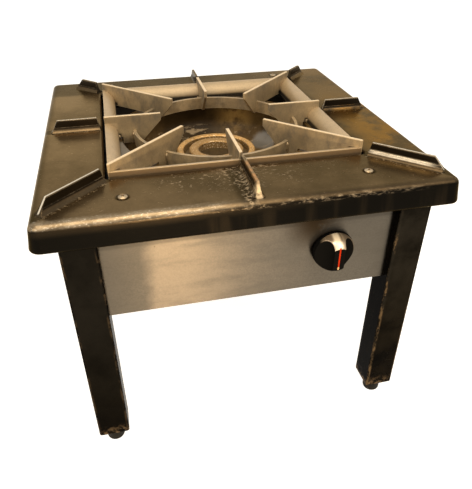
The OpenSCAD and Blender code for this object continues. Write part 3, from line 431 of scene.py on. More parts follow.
def plate_film(g, on_top, level, ribs, fillets):
    """Brown film on the top, partly painted reflection: full on level faces, thin on the ribs, growing
    towards the left back, and thinner in some places, some of them painted shade.
    """
    smudge = g.times(g.patchy(0.5, 0.66, 13, 4), g.step(g.x, -0.18, -0.04), 0.16)
    cover = g.most(g.spread(level, 0.03, 1.0), g.times(ribs, 0.18), smudge, fillets)
    clouds = g.spread(g.patchy(0.3, 0.7, 8, 6, 0.62), 0.4, 0.82)
    # Painted reflection: the film grows towards the left back
    leftward = g.math("SUBTRACT", g.y, g.times(g.x, 0.8))
    painted_reflection = g.spread(g.step(leftward, -0.04, 0.21), 0.73, 1.3)
    film = g.times(on_top, cover, clouds, g.mottle(0.78, 1.22, 240, 3, 0.6), painted_reflection)
    # Painted shade: the film is thinner behind and beside the opening, left of the front rib, at the feet of
    # the side and corner ribs, and in the screw dimples
    shade_behind_opening = g.times(g.step(g.y, 0.2, 0.215), g.step(g.x, 0.24, 0.12))
    shade_beside_opening = g.times(g.step(g.apart(g.x), 0.216, 0.196), g.step(g.apart(g.y), 0.18, 0.16))
    shade_left_of_rib = g.times(g.band(g.x, -0.034, -0.02, -0.008, -0.003), ahead_of(g, RAIL_FRONT + 0.001))
    left_round = g.step(g.x, LEFT + 0.02, LEFT + 0.008)
    right_of_front = g.times(ahead_of(g, FRONT + 0.02), on_right(g))
    thinner = (
        (shade_behind_opening, 0.4), (screw_dimple(g), 0.3), (shade_beside_opening, 0.6), (shade_left_of_rib, 0.42),
        (left_round, 0.5), (right_of_front, 0.45), (near_ribs(g, 0.012, 0.008), 0.42),
    )
    for where, what_is_left in thinner:
        film = g.times(film, g.spread(where, 1.0, what_is_left))
    return film


def rim_reflections(g, rise):
    """Painted reflections: a faint brown halo under the rim's front edge, and brown streaks down its front
    face.
    """
    halo = g.times(g.step(rise, -0.018, -0.0075), g.step(g.x, 0.16, -0.1), 0.07)
    streaks = g.patchy(0.5, 0.68, 26, 4, 0.6, g.moved((1, 0.2, 0.12)))
    streaks = g.times(streaks, g.step(g.x, -0.2, -0.05), 0.035)
    return g.times(ahead_of(g, FRONT + 0.012), g.most(halo, streaks))


def ochre_film(g, level):
    """Thick film on the right of the top, thinner towards the back."""
    right = g.times(g.step(g.x, 0.19, 0.25), level, g.step(g.y, -0.2, -0.15))
    thick = g.spread(g.step(g.y, 0.13, -0.01), 0.25, 1.0)
    return g.times(right, thick, g.patchy(0.38, 0.56, 16, 5, 0.65), g.mottle(0.6, 1.3, 260, 3))


def rib_highlights(g, rise):
    """Painted highlights: a bright line on the front right rib's flank, and bright crests of the side and
    corner ribs.
    """
    flank_middle = (0.236, -0.222, PLATE_TOP + 0.007)
    flank = g.times(g.band(rise, 0.0036, 0.006, 0.008, 0.011), g.step(g.near(flank_middle, 0.066), 0.0, 0.4))
    crest = g.times(near_ribs(g, 0.0017, 0.0009), g.step(rise, 0.0012, 0.003))
    return g.most(
        g.times(flank, g.mottle(0.25, 0.95, 160, 4, 0.7)),
        g.times(crest, g.mottle(0.4, 1.0, 120, 4, 0.7)))


def worn_flecks(g):
    """Worn through in small flecks along the front border and the feet of ribs, and strewn elsewhere."""
    wear_x = -0.012
    from_rib = g.apart(g.x, wear_x)
    border = g.band(g.y, FRONT + 0.028, FRONT + 0.095, FRONT + 0.11, RAIL_FRONT + 0.001)
    middle = g.band(g.x, -0.2, -0.06, 0.03, 0.18)
    flecks = g.noise(230, 4, 0.7, g.moved((0.7, 1, 1)))
    scattered = g.times(border, middle, g.patchy(0.42, 0.66, 26, 3), g.step(flecks, 0.57, 0.64))
    beside_rib = g.times(g.step(from_rib, 0.04, 0.012), border, g.step(flecks, 0.53, 0.62))
    strewn = g.times(g.step(flecks, 0.67, 0.71), 0.6)
    rib_foot = g.times(g.step(from_rib, 0.011, 0.004), ahead_of(g, RAIL_FRONT + 0.001))
    rail_foot = g.times(
        g.step(g.y, RAIL_FRONT - 0.02, RAIL_FRONT - 0.013), g.band(g.x, -0.06, -0.02, 0.045, 0.06), border)
    front_lines = g.times(g.most(rib_foot, rail_foot), g.step(flecks, 0.49, 0.62))
    other_feet = g.math("SUBTRACT", near_ribs(g, 0.016, 0.012), near_ribs(g, 0.0095, 0.007))
    other_lines = g.times(other_feet, g.step(flecks, 0.56, 0.64), 0.7)
    return g.most(scattered, beside_rib, strewn, front_lines, other_lines)


def rubbed_rim(g, rise):
    """Worn through along the rim's front edge, and in a thin line along its left edge."""
    front = g.times(g.band(rise, -0.0105, -0.0055, -0.003, -0.0002), ahead_of(g, FRONT + 0.015))
    chips = g.patchy(0.48, 0.66, 150, 5, 0.75, g.moved((0.6, 1, 1.6)))
    front = g.times(front, chips, g.band(g.x, -0.12, 0.02, 0.16, 0.27))
    left = g.times(g.band(rise, -0.0075, -0.005, -0.0025, -0.001), g.step(g.x, LEFT + 0.011, LEFT + 0.007))
    return g.most(front, g.times(left, g.mottle(0.2, 1.0, 110, 4, 0.7)))


def leg_wear(g, legs):
    """Brown wear on the lower ends of the legs and in chips along their corners, more of them below."""
    low_end = g.times(
        g.step(g.z, LEG_LOW.z + 0.025, LEG_LOW.z + 0.001), g.patchy(0.46, 0.62, 90, 5, 0.75), 0.7)
    chips = g.add(g.noise(110, 5, 0.75, g.moved((1, 1, 0.3))), g.times(g.step(g.z, 0.34, 0.06), 0.08))
    corners = g.times(leg_corner(g), legs, g.step(chips, 0.5, 0.62), g.spread(on_right(g), 0.25, 0.6))
    return g.most(low_end, corners)


def rib_rust(g, rise):
    """Rust along the crest of the front rib."""
    crest = g.times(g.step(rise, 0.0145, 0.019), g.step(g.apart(g.x), 0.008, 0.005))
    rough = g.spread(g.patchy(0.4, 0.6, 60, 4, 0.7), 0.15, 0.8)
    return g.times(crest, ahead_of(g, RAIL_FRONT - 0.023), rough)


def rib_nose(g):
    """Pale front end of the front rib."""
    end = (0, FRONT + 0.023, PLATE_TOP + 0.008)
    rough = g.spread(g.patchy(0.38, 0.56, 150, 4, 0.7), 0.3, 0.9)
    return g.times(g.near(end, 0.018), g.step(g.apart(g.x), 0.0055, 0.003), rough)


def enamel_material(name, finish, detail, gloss):
    """Black enamel with brown films on the top, partly painted reflection, painted highlights and glints on
    the rim and the ribs, worn edges, flecks, painted shade in some places, and a rusty front rib.
    """
    g = Graph(name)
    rise = g.add(g.z, -PLATE_TOP)
    on_top = g.step(rise, -RIM_ROUND, -0.0038)
    level = g.times(on_top, g.upward(0.35, 0.85))
    ribs = g.step(rise, 0.0012, 0.004)
    fillets = g.times(g.step(rise, 0.0002, 0.001), g.upward(0.1, 0.5))
    legs = g.step(rise, -0.04, -0.06)

    # Painted highlight along the left of the rim's front and on the crests of the ribs, the crests partly
    # worn, and painted glints on the rim
    rim_top = g.times(g.step(rise, -0.007, -0.0035), ahead_of(g, FRONT + 0.023))
    uneven = g.spread(g.patchy(0.36, 0.6, 70, 5, 0.7, g.moved((0.5, 1, 1))), 0.35, 1.0)
    rim_highlight = g.times(rim_top, g.step(g.x, 0.0, -0.11), uneven)
    glints = g.times(rim_highlight, g.patchy(0.54, 0.66, 520, 3, 0.6, g.moved((0.6, 1, 1))), 0.5)
    # Painted highlight on the crests of the ribs, partly worn enamel
    crests = g.times(g.step(rise, RIB_RISE - 0.0022, RIB_RISE - 0.0004), g.mottle(0.1, 0.9, 90, 4, 0.7))

    # Smeared and worn
    smeared = g.times(legs, g.patchy(0.22, 0.72, 17, 5, 0.65), g.spread(on_right(g), 0.03, 0.075))
    flecks = g.times(worn_flecks(g), g.most(level, fillets), 0.75)
    edges = g.times(g.edge(0.0022), g.patchy(0.48, 0.66, 60, 4, 0.7), 0.35)
    worn = g.most(flecks, edges, g.times(rubbed_rim(g, rise), 0.55))
    tan = leg_wear(g, legs)
    rust = rib_rust(g, rise)
    nose = rib_nose(g)

    base = g.coats(
        finish.enamel,
        (plate_film(g, on_top, level, ribs, fillets), finish.enamel_grime_and_reflection),
        (rim_reflections(g, rise), finish.enamel_grime_and_reflection),
        (ochre_film(g, level), finish.enamel_ochre),
        # Painted highlights of the rim and the rib crests, then painted glints and bright rib lines
        (g.times(g.most(rim_highlight, crests), 0.6), finish.enamel_worn_and_highlight),
        (g.most(glints, rib_highlights(g, rise)), finish.enamel_highlight),
        (smeared, finish.grate_smoke),
        (worn, finish.enamel_worn_and_highlight),
        (tan, finish.enamel_tan_and_shade),
        (rust, finish.rust),
        (nose, finish.grate_pale_and_highlight),
    )
    under_top = g.times(g.step(rise, -0.011, -0.015), g.step(g.most(g.apart(g.x), g.apart(g.y)), 0.24, 0.22))
    matt = g.most(under_top, worn, tan, rust, nose)
    smear = g.mottle(0.18, 0.33, 12, 5, 0.65, g.moved((1, 5, 5), turn=(0, 0, 0.12)))
    rough = g.add(smear, g.times(matt, 0.3), g.times(rim_top, 0.12))
    g.relief(g.add(g.noise(24, 3), g.times(g.noise(170, 3), 0.14)), 0.0011, 0.3, detail.press_round)
    glaze = g.times(g.rest(matt), g.spread(g.times(ribs, g.rest(level)), 0.85, 0.5))
    return g.finish(base, rough, glaze, Specular_IOR_Level=0.1, Specular_Tint=gloss)


def panel_stain(g):
    """Heat stain beside the knob, and fainter stains along the top of the panels."""
    middle = (KNOB_LOW.x, PANEL_FRONT, KNOB_HIGH.z + 0.013)
    beside_knob = g.times(g.near(middle, 0.058), g.patchy(0.24, 0.48, 28, 5, 0.65))
    upper = g.times(g.step(g.z, PLATE_TOP - 0.062, PLATE_TOP - 0.032), g.patchy(0.42, 0.66, 14, 4))
    return g.most(beside_knob, g.times(upper, 0.35))


def panel_inside(g):
    """1 on the inner sides of the panels."""
    skin = 0.0004
    soft = 0.0002
    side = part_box("right_panel")[1].x - skin
    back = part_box("rear_panel")[1].y - skin
    return g.times(g.step(g.apart(g.x), side, side - soft), g.step(g.apart(g.y), back, back - soft))


def brushed_material(finish, detail):
    """Satin steel brushed lengthways, with a warm band of painted reflection, a painted shadow under the rim,
    painted highlights on the edges, stains and dull spots, and soot on the inside.
    """
    g = Graph("BrushedSteel")
    steel = finish.steel
    along_x = g.noise(60, 4, 0.7, g.moved((0.35, 40, 40)))
    along_y = g.noise(60, 4, 0.7, g.moved((40, 0.35, 40)))
    facing_front = g.step(g.apart(g.y), -PANEL_FRONT - 0.006, -PANEL_FRONT - 0.003)
    grain = g.add(g.times(along_x, facing_front), g.times(along_y, g.rest(facing_front)))
    speck = g.noise(430, 3, 0.6)
    satin = g.add(g.times(grain, 0.4), g.times(speck, 0.6))
    clouds = g.patchy(0.42, 0.66, 7, 5, 0.6)
    # Painted reflection: a warm bright band across the panels
    waved = g.add(g.x, g.mottle(-0.02, 0.02, 16, 3))
    warm = g.times(g.band(waved, -0.168, -0.142, -0.11, 0.15), g.spread(speck, 0.5, 1.1))
    streaks = g.patchy(0.45, 0.64, 19, 5, 0.62, g.moved((0.4, 1, 1.5), turn=(0, 0.3, 0)))
    # Painted shadow of the rim along the top of the panels
    rim_shadow = g.step(g.z, PLATE_TOP - 0.0665, PLATE_TOP - 0.0615)
    stain = panel_stain(g)
    spots = g.times(g.step(g.cells(60).outputs["Distance"], 0.09, 0.05), g.patchy(0.52, 0.62, 9, 3))
    inside = panel_inside(g)
    base = g.coats(
        shade(steel, 0.78),
        (g.step(satin, 0.36, 0.64), steel),
        (g.times(clouds, 0.45), shade(steel, 0.66)),
        (warm, finish.steel_reflection),
        (g.times(streaks, 0.5), shade(steel, 0.9)),
        (g.times(rim_shadow, 0.5), shade(steel, 0.4)),
        # Painted highlight along the edges
        (g.times(g.edge(0.0014), 0.6), shade(steel, 2.2)),
        (g.times(stain, 0.92), finish.heat_stain),
        (g.times(spots, 0.4), finish.heat_stain),
        (g.times(inside, 0.95), finish.soot),
    )
    rough = g.add(g.spread(grain, 0.27, 0.38), g.times(stain, 0.12))
    g.relief(grain, 0.0002, 0.3, detail.edge_round)
    clean = g.rest(g.times(inside, 0.9))
    return g.finish(base, rough, clean, Anisotropic=0.95, Anisotropic_Rotation=0.25, Specular_IOR_Level=0.05)


def grate_material(finish, detail):
    """Heat-tinted uncoated steel, pale along the edges and on the rails, with a painted highlight on the top
    faces, painted shade under the rails, and brown painted shade on the front rail's face.
    """
    g = Graph("GrateSteel")
    cloud = g.patchy(0.32, 0.7, 16, 5, 0.62)
    grain = g.noise(210, 3, 0.6)
    smoke = g.patchy(0.44, 0.68, 30, 6, 0.72, g.moved((1, 1, 0.6)))
    outward = g.most(g.apart(g.x), g.apart(g.y, OPENING_Y))
    rails = g.times(
        g.step(outward, RAIL_INNER - 0.002, RAIL_INNER + 0.002),
        g.step(g.z, RAIL_TOP + 0.0015, RAIL_TOP - 0.0005))
    soot = g.times(g.step(g.z, PLATE_TOP - 0.013, PLATE_TOP - 0.026), g.patchy(0.42, 0.66, 30, 4))
    # Painted shade under the rails
    shade_under_rails = g.times(
        g.step(outward, RAIL_INNER - 0.007, RAIL_INNER - 0.003),
        g.step(g.z, PLATE_TOP - 0.0085, PLATE_TOP - 0.0135))
    front = g.step(g.y, RAIL_FRONT + 0.015, RAIL_FRONT + 0.012)
    # Painted shade on the front rail's face
    shaded_front_face = g.times(front, g.step(g.z, RAIL_TOP - 0.0005, RAIL_TOP - 0.0014))
    front_foot = g.times(front, g.step(g.z, PLATE_TOP + 0.002, PLATE_TOP))
    edges = g.times(g.edge(0.002), g.mottle(0.5, 1.0, 40, 3))
    # Painted highlight on the top faces
    top = g.step(g.z, RIB_TOP - 0.0015, RIB_TOP - 0.0003)
    base = g.coats(
        shade(finish.grate, 0.66),
        (cloud, shade(finish.grate, 1.1)),
        (g.times(smoke, 0.75), finish.grate_smoke),
        (g.times(rails, 0.75), finish.grate_rail),
        (g.times(soot, 0.5), finish.bowl),
        (g.times(shade_under_rails, 0.97), finish.enamel),
        (g.times(shaded_front_face, 0.95), shade(finish.enamel_tan_and_shade, 0.85)),
        (g.times(front_foot, 0.2), finish.enamel),
        (g.most(g.times(edges, 0.55), g.times(top, 0.9)), finish.grate_pale_and_highlight),
        (g.times(g.patchy(0.5, 0.68, 420, 2, 0.5), 0.22), finish.grate_smoke),
    )
    g.relief(g.add(grain, g.times(cloud, 0.6)), 0.0005, 0.35, detail.edge_round)
    return g.finish(base, g.spread(grain, 0.4, 0.58), 0.3)


def bowl_material(finish, detail):
    """Burnt brown glaze with golden and pale bluish patches, painted shade at the back, and pale flakes at
    the back.
    """
    gold_spot = (0.072, 0.17, 0.413)
    # Middle of the painted shade at the back
    shade_spot = (-0.035, 0.18, 0.402)
    bluish_wall = (-0.162, -0.035, 0.4395)
    bluish_floor = (0.116, 0.105, 0.37)
    flake_spot = (-0.02, 0.172, 0.381)
    g = Graph("BurntBowl")
    gold_places = g.most(g.near(gold_spot, 0.06), g.times(g.step(g.x, -0.02, 0.08), 0.15))
    golden = g.times(g.patchy(0.36, 0.56, 19, 5, 0.7), gold_places)
    # Painted shade at the back of the bowl
    back_shade = g.step(g.near(shade_spot, 0.09), 0.1, 0.6)
    # Pale bluish patches on the left wall and on the right of the floor
    bluish_places = g.add(g.most(g.near(bluish_wall, 0.05), g.near(bluish_floor, 0.04)), g.mottle(-0.3, 0.3, 40, 4))
    bluish = g.times(g.step(bluish_places, 0.1, 0.5), g.spread(g.patchy(0.3, 0.48, 24, 4, 0.6), 0.6, 1.0))
    back_floor = g.times(g.step(g.y, 0.06, 0.09), g.step(g.z, 0.392, 0.384))
    loose = g.add(g.noise(95, 5, 0.72, g.moved((0.35, 1, 1))), g.times(g.near(flake_spot, 0.05), 0.12))
    flakes = g.times(back_floor, g.step(loose, 0.57, 0.66))
    base = g.coats(
        shade(finish.bowl, 0.35),
        (g.patchy(0.34, 0.68, 13, 6, 0.66), shade(finish.bowl, 1.3)),
        (g.times(golden, 0.8), finish.bowl_gold),
        (g.times(back_shade, 0.75), shade(finish.bowl, 0.3)),
        (g.times(bluish, 0.9), finish.bowl_bluish),
        (g.times(flakes, 0.75), finish.enamel_worn_and_highlight),
    )
    rough = g.add(g.mottle(0.2, 0.5, 34, 4), g.times(flakes, 0.3))
    g.relief(g.add(g.noise(60, 5, 0.7), flakes), 0.0012, 0.45, detail.edge_round)
    return g.finish(base, rough, g.times(bluish, 0.3), Specular_IOR_Level=0.1)


def ring_material(finish, detail):
    """Heat-tinted, granular casting of the flame rings, darker on the inner ring, with painted shade on
    upright faces.
    """
    g = Graph("FlameRing")
    tint = finish.flame_ring
    grain = g.noise(260, 4, 0.7)
    cloud = g.noise(45, 4, 0.6)
    low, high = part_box("inner_flame_ring")
    inner_ring = g.step(g.near((low + high) / 2, high.x - low.x), 0.4, 0.5)
    base = g.coats(
        shade(tint, 0.62),
        (g.step(cloud, 0.35, 0.65), tint),
        (g.times(g.step(grain, 0.54, 0.66), 0.75), shade(tint, 0.2)),
        (g.times(g.edge(0.0018), 0.6), shade(tint, 1.5)),
        (g.times(inner_ring, 0.8), shade(tint, 0.5)),
        # Painted shade on the upright faces
        (g.times(g.upward(0.7, 0.2), 0.65), shade(tint, 0.22)),
        (g.times(g.patchy(0.56, 0.64, 380, 2, 0.5), 0.6), finish.grate_pale_and_highlight),
    )
    g.relief(grain, 0.0012, 0.7, detail.edge_round)
    return g.finish(base, g.spread(cloud, 0.45, 0.65), 0.45)


def metal_material(name, tint, detail, rough, grain_scale, dirt, metallic=0.9):
    """Plain metal with a fine grain and darker dirt."""
    g = Graph(name)
    grain = g.noise(grain_scale, 4, 0.65)
    cloud = g.patchy(0.38, 0.7, 30, 5, 0.6)
    base = g.coats(
        tint,
        (g.times(cloud, dirt), shade(tint, 0.4)),
        (g.times(g.edge(0.0009, 4), 0.4), shade(tint, 1.35)),
    )
    g.relief(grain, 0.0004, 0.35, detail.edge_round)
    return g.finish(base, g.add(g.spread(grain, rough - 0.07, rough + 0.07), g.times(cloud, 0.1)), metallic)


def galvanised_material(finish, detail):
    """Zinc with its crystals, dulled by soot."""
    g = Graph("Galvanised")
    crystal = g.node("ShaderNodeSeparateColor")
    g.feed(crystal.inputs[0], g.cells(130).outputs["Color"])
    soot = g.patchy(0.46, 0.74, 14, 5, 0.65)
    base = g.coats(
        shade(finish.zinc, 0.62),
        (crystal.outputs[0], shade(finish.zinc, 0.9)),
        (g.times(soot, 0.6), shade(finish.zinc, 0.35)),
    )
    rough = g.add(g.spread(crystal.outputs[1], 0.3, 0.45), g.times(soot, 0.2))
    g.relief(g.noise(120, 3), 0.0003, 0.25, detail.edge_round)
    return g.finish(base, rough, 0.85)


def plastic_material(name, tint, detail, rough, gloss=0.0):
    """Moulded plastic with faint smears."""
    g = Graph(name)
    smear = g.noise(40, 4, 0.6)
    smeared = tuple(min(1.0, part * 1.3 + 0.002) for part in tint)
    base = g.blend(g.step(smear, 0.4, 0.7), tint, smeared)
    g.relief(g.noise(300, 2), 0.0002, 0.2, detail.edge_round)
    return g.finish(base, g.spread(smear, rough * 0.75, rough * 1.3), 0.0, Specular_IOR_Level=gloss)


def knob_material(finish, detail):
    """Black plastic with a painted sheen on the upper dome, weaker on its right, and a painted highlight
    stripe, dull in the grip's hollows.
    """
    g = Graph("KnobBlack")
    middle = (KNOB_LOW + KNOB_HIGH) / 2
    radius = (KNOB_HIGH.x - KNOB_LOW.x) / 2
    skirt = KNOB_HIGH.y - 0.006
    dome_middle = (middle.x, KNOB_HIGH.y - detail.knob_dome_back, middle.z)
    across = g.add(g.x, -middle.x)
    # Painted sheen: the upper dome, fading out on the left and weaker on the right
    dome = g.times(
        g.step(g.away(dome_middle), radius - 0.0014, radius - 0.0008),
        g.step(g.z, middle.z - radius * 0.2, middle.z + radius * 0.4),
        g.step(g.y, skirt, skirt - 0.0008),
        g.step(across, -0.025, -0.014),
        g.spread(g.step(across, 0.004, 0.012), 1.0, 0.3))
    # Painted highlight: a pale stripe across the dome
    highlight_stripe = g.times(dome, g.band(across, -0.0095, -0.005, 0.0005, 0.005))
    base = g.coats(finish.knob, (dome, finish.knob_sheen), (highlight_stripe, finish.knob_highlight))
    rough = g.add(g.spread(dome, 0.42, 0.2), g.times(g.noise(40, 4, 0.6), 0.1))
    g.relief(g.noise(300, 2), 0.0002, 0.2, detail.edge_round)
    return g.finish(base, rough, g.times(dome, g.spread(highlight_stripe, 0.7, 0.2)), Specular_IOR_Level=0.0)


def join_rings(made, rings):
    """Faces between rings of vertices that follow one another."""
    for low, high in zip(rings, rings[1:]):
        count = len(low)
        for k in range(count):
            after = (k + 1) % count
            made.faces.new((low[k], low[after], high[after], high[k]))


def closed_mesh(name, made):
    """Mesh of a closed form, with its faces turned outwards."""
    bmesh.ops.recalc_face_normals(made, faces=made.faces)
    mesh = bpy.data.meshes.new(name)
    made.to_mesh(mesh)
    made.free()
    return mesh


def bead_mesh(name, paths, radius, step, seed):
    """Rippled weld beads along straight paths, each a pair of points."""
    sides = 10
    hollow = 0.84
    chance = random.Random(seed)
    made = bmesh.new()
    for start, end in paths:
        along = end - start
        count = max(3, round(along.length / step))
        turn = along.to_track_quat("Z", "Y").to_matrix()
        rings = []
        for i in range(count * 2 + 1):
            t = i / (count * 2)
            swell = (1.0 if i % 2 else hollow) * chance.uniform(0.88, 1.08)
            cap = min(1.0, 0.35 + 4 * min(t, 1 - t))
            middle = start + along * t
            ring = []
            for k in range(sides):
                angle = k * math.tau / sides
                spoke = Vector((math.cos(angle), math.sin(angle), 0)) * radius * swell * cap
                ring.append(made.verts.new(middle + turn @ spoke))
            rings.append(ring)
        join_rings(made, rings)
        made.faces.new(rings[0][::-1])
        made.faces.new(rings[-1])
    for face in made.faces:
        face.smooth = True
    return closed_mesh(name, made)


def weld_paths(detail):
    """Lines of the beads: ring to fins, and fins to rails."""
    foot_gap = 0.002
    head_gap = 0.003
    rail_gap = 0.0012
    rail_bead = 0.006
    low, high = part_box("ring_segments")
    middle = (low + high) / 2
    reach = (high.x - low.x) / 2
    rail_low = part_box("rail_right")[0]
    fin_low, fin_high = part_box("side_fin_front")
    sink = detail.weld_radius * 0.35
    aside = (fin_high.x - fin_low.x) / 2 + sink
    joints = (
        (8, reach, low.z + foot_gap, high.z - head_gap),
        (4, rail_low.x - sink, rail_low.z + rail_gap, rail_low.z + rail_gap + rail_bead),
    )
    paths = []
    for count, out, bottom, top in joints:
        for k in range(count):
            turn = Matrix.Rotation(math.tau * k / count, 3, "Z")
            for side in (-1, 1):
                at = turn @ Vector((out, side * aside, 0))
                x, y = middle.x + at.x, middle.y + at.y
                paths.append((Vector((x, y, bottom)), Vector((x, y, top))))
    return paths


def thread_mesh(name, centre, crest, depth, span, pitch, bore):
    """External thread along +Y with its crest at a radius, as a closed sleeve that fades at its end."""
    around = 48
    made = bmesh.new()
    rows = int(span / pitch * 4) + 1

    def ring(y, radius_at):
        """Vertices round the axis at y, each at the radius of its own place."""
        placed = []
        for k in range(around):
            angle = k * math.tau / around
            r = radius_at(y, k)
            place = (centre.x + r * math.cos(angle), centre.y + y, centre.z + r * math.sin(angle))
            placed.append(made.verts.new(place))
        return placed

    def tooth_radius(y, k):
        """Radius of the thread at y, at one of the places round the axis."""
        tooth = abs((y / pitch - k / around) % 1.0 * 2 - 1)
        fade = min(1.0, (span - y) / pitch)
        return crest - depth * (1 - tooth * fade)

    thread = [ring(span * i / rows, tooth_radius) for i in range(rows + 1)]
    first, last = (ring(y, lambda y, k: bore) for y in (0.0, span))
    join_rings(made, [first, *thread, last, first])
    return closed_mesh(name, made)


class STOVE_OT_enamel(bpy.types.Operator):
    """Enamel the top plate and the legs"""

    bl_idname = "stove.enamel"
    bl_label = "Enamelled top and legs"

    def execute(self, context):
        finish, detail, _ = settings(context)
        dress(enamel_material("TopEnamel", finish, detail, finish.top_gloss), "enamel", "top_plate")
        dress(enamel_material("LegEnamel", finish, detail, finish.leg_gloss), "enamel", *LEGS)
        return {"FINISHED"}


class STOVE_OT_panels(bpy.types.Operator):
    """Brush the four panels"""

    bl_idname = "stove.panels"
    bl_label = "Stainless panels"

    def execute(self, context):
        finish, detail, _ = settings(context)
        dress(brushed_material(finish, detail), "stainless", *PANELS)
        return {"FINISHED"}


class STOVE_OT_pan_support(bpy.types.Operator):
    """Tint the pan support and lay its weld beads"""

    bl_idname = "stove.pan_support"
    bl_label = "Pan support"

    def execute(self, context):
        finish, detail, _ = settings(context)
        dress(grate_material(finish, detail), "grate", "ring_segments", *RAILS, *FINS)
        mesh = bead_mesh("weld_beads", weld_paths(detail), detail.weld_radius, detail.weld_step, detail.seed)
        bead = metal_material("WeldBead", finish.grate, detail, 0.4, 90, 0.8, 0.7)
        new_piece("weld_beads", mesh, bead, "pan_support")
        return {"FINISHED"}


class STOVE_OT_bowl(bpy.types.Operator):
    """Glaze the drip bowl"""

    bl_idname = "stove.bowl"
    bl_label = "Drip bowl"

    def execute(self, context):
        finish, detail, _ = settings(context)
        dress(bowl_material(finish, detail), "burnt_enamel", "drip_bowl")
        return {"FINISHED"}


class STOVE_OT_burner(bpy.types.Operator):
    """Finish the flame rings, the burner's castings and its strap"""

    bl_idname = "stove.burner"
    bl_label = "Burner"

    def execute(self, context):
        finish, detail, _ = settings(context)
        dress(ring_material(finish, detail), "flame_ring", "outer_flame_ring", "inner_flame_ring")
        burnt = metal_material("BurntCasting", finish.burnt, detail, 0.6, 180, 0.5, 0.2)
        dress(burnt, "iron", "burner_body")
        iron = metal_material("CastIron", finish.iron, detail, 0.6, 180, 0.4, 0.5)
        dress(iron, "iron", "mixing_tube")
        zinc = galvanised_material(finish, detail)
        dress(zinc, "galvanised", "burner_strap", "air_shutter", "injector_holder")
        return {"FINISHED"}


class STOVE_OT_gas_train(bpy.types.Operator):
    """Finish the tap, the pipes and the inlet, and cut the inlet's thread"""

    bl_idname = "stove.gas_train"
    bl_label = "Tap and pipes"

    def execute(self, context):
        finish, detail, _ = settings(context)
        brass = metal_material("Brass", finish.brass, detail, 0.3, 120, 0.35)
        dress(brass, "brass", "tap_body", "tap_cap", "tap_plug", "union_nuts", "inlet_nipple", "inlet_nut",
              "injector", "pilot_burner")
        copper = metal_material("Copper", finish.copper, detail, 0.28, 90, 0.4)
        dress(copper, "copper", "supply_pipe", "burner_pipe", "pilot_pipe", "thermocouple_lead")
        self.thread(brass, detail)
        return {"FINISHED"}

    @staticmethod
    def thread(brass, detail):
        """Thread on the outer end of the gas inlet."""
        span = 0.016
        crest = 0.01085
        depth = 0.0007
        bore = 0.0099
        low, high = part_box("inlet_nipple")
        start = Vector(((low.x + high.x) / 2, high.y - span, (low.z + high.z) / 2))
        mesh = thread_mesh("inlet_thread", start, crest, depth, span, detail.thread_pitch, bore)
        new_piece("inlet_thread", mesh, brass, "stand")


class STOVE_OT_fasteners(bpy.types.Operator):
    """Plate the screws, nuts and bushes"""

    bl_idname = "stove.fasteners"
    bl_label = "Fasteners"

    def execute(self, context):
        finish, detail, _ = settings(context)
        browned = metal_material("PlateScrew", finish.plate_screw, detail, 0.34, 160, 0.6)
        dress(browned, "fastener", "plate_screws")
        zinc = metal_material("ZincPlate", finish.zinc, detail, 0.3, 160, 0.6)
        dress(zinc, "fastener", "plate_nuts", "strap_screws", "burner_bolts", "panel_screws", "foot_bushes",
              "foot_lock_nuts", "tap_nut", "spindle", "thermocouple")
        return {"FINISHED"}


class STOVE_OT_knob(bpy.types.Operator):
    """Colour the knob and its pointer line"""

    bl_idname = "stove.knob"
    bl_label = "Knob"

    def execute(self, context):
        finish, detail, _ = settings(context)
        dress(knob_material(finish, detail), "knob_black", "knob")
        red = plastic_material("PointerRed", finish.pointer, detail, 0.35)
        dress(red, "pointer_red", "knob_pointer")
        pale = plastic_material("PointerPale", finish.pointer_tip, detail, 0.35)
        dress(pale, "pointer_pale", "pointer_tip")
        return {"FINISHED"}


class STOVE_OT_feet(bpy.types.Operator):
    """Colour the feet"""

    bl_idname = "stove.feet"
    bl_label = "Feet"

    def execute(self, context):
        finish, detail, _ = settings(context)
        dress(plastic_material("FootBlack", finish.foot, detail, 0.5, 0.05), "foot_black", *FEET)
        return {"FINISHED"}


def lamp(name, place, aim, size, power, tint):
    """An area lamp that looks at a point."""
    data = bpy.data.lights.new(name, "AREA")
    data.shape = "RECTANGLE"
    data.size, data.size_y = size
    data.energy = power
    data.color = tint
    made = bpy.data.objects.new(name, data)
    made.location = place
    made.rotation_euler = (Vector(aim) - Vector(place)).to_track_quat("-Z", "Y").to_euler()
    bpy.context.scene.collection.objects.link(made)


def sees_background(tree):
    """1 for camera, glossy and transmission rays, and 0 for the rest."""
    rays = tree.nodes.new("ShaderNodeLightPath")
    seen = rays.outputs["Is Camera Ray"]
    for kind in ("Is Glossy Ray", "Is Transmission Ray"):
        either = tree.nodes.new("ShaderNodeMath")
        either.operation = "MAXIMUM"
        tree.links.new(seen, either.inputs[0])
        tree.links.new(rays.outputs[kind], either.inputs[1])
        seen = either.outputs[0]
    return seen


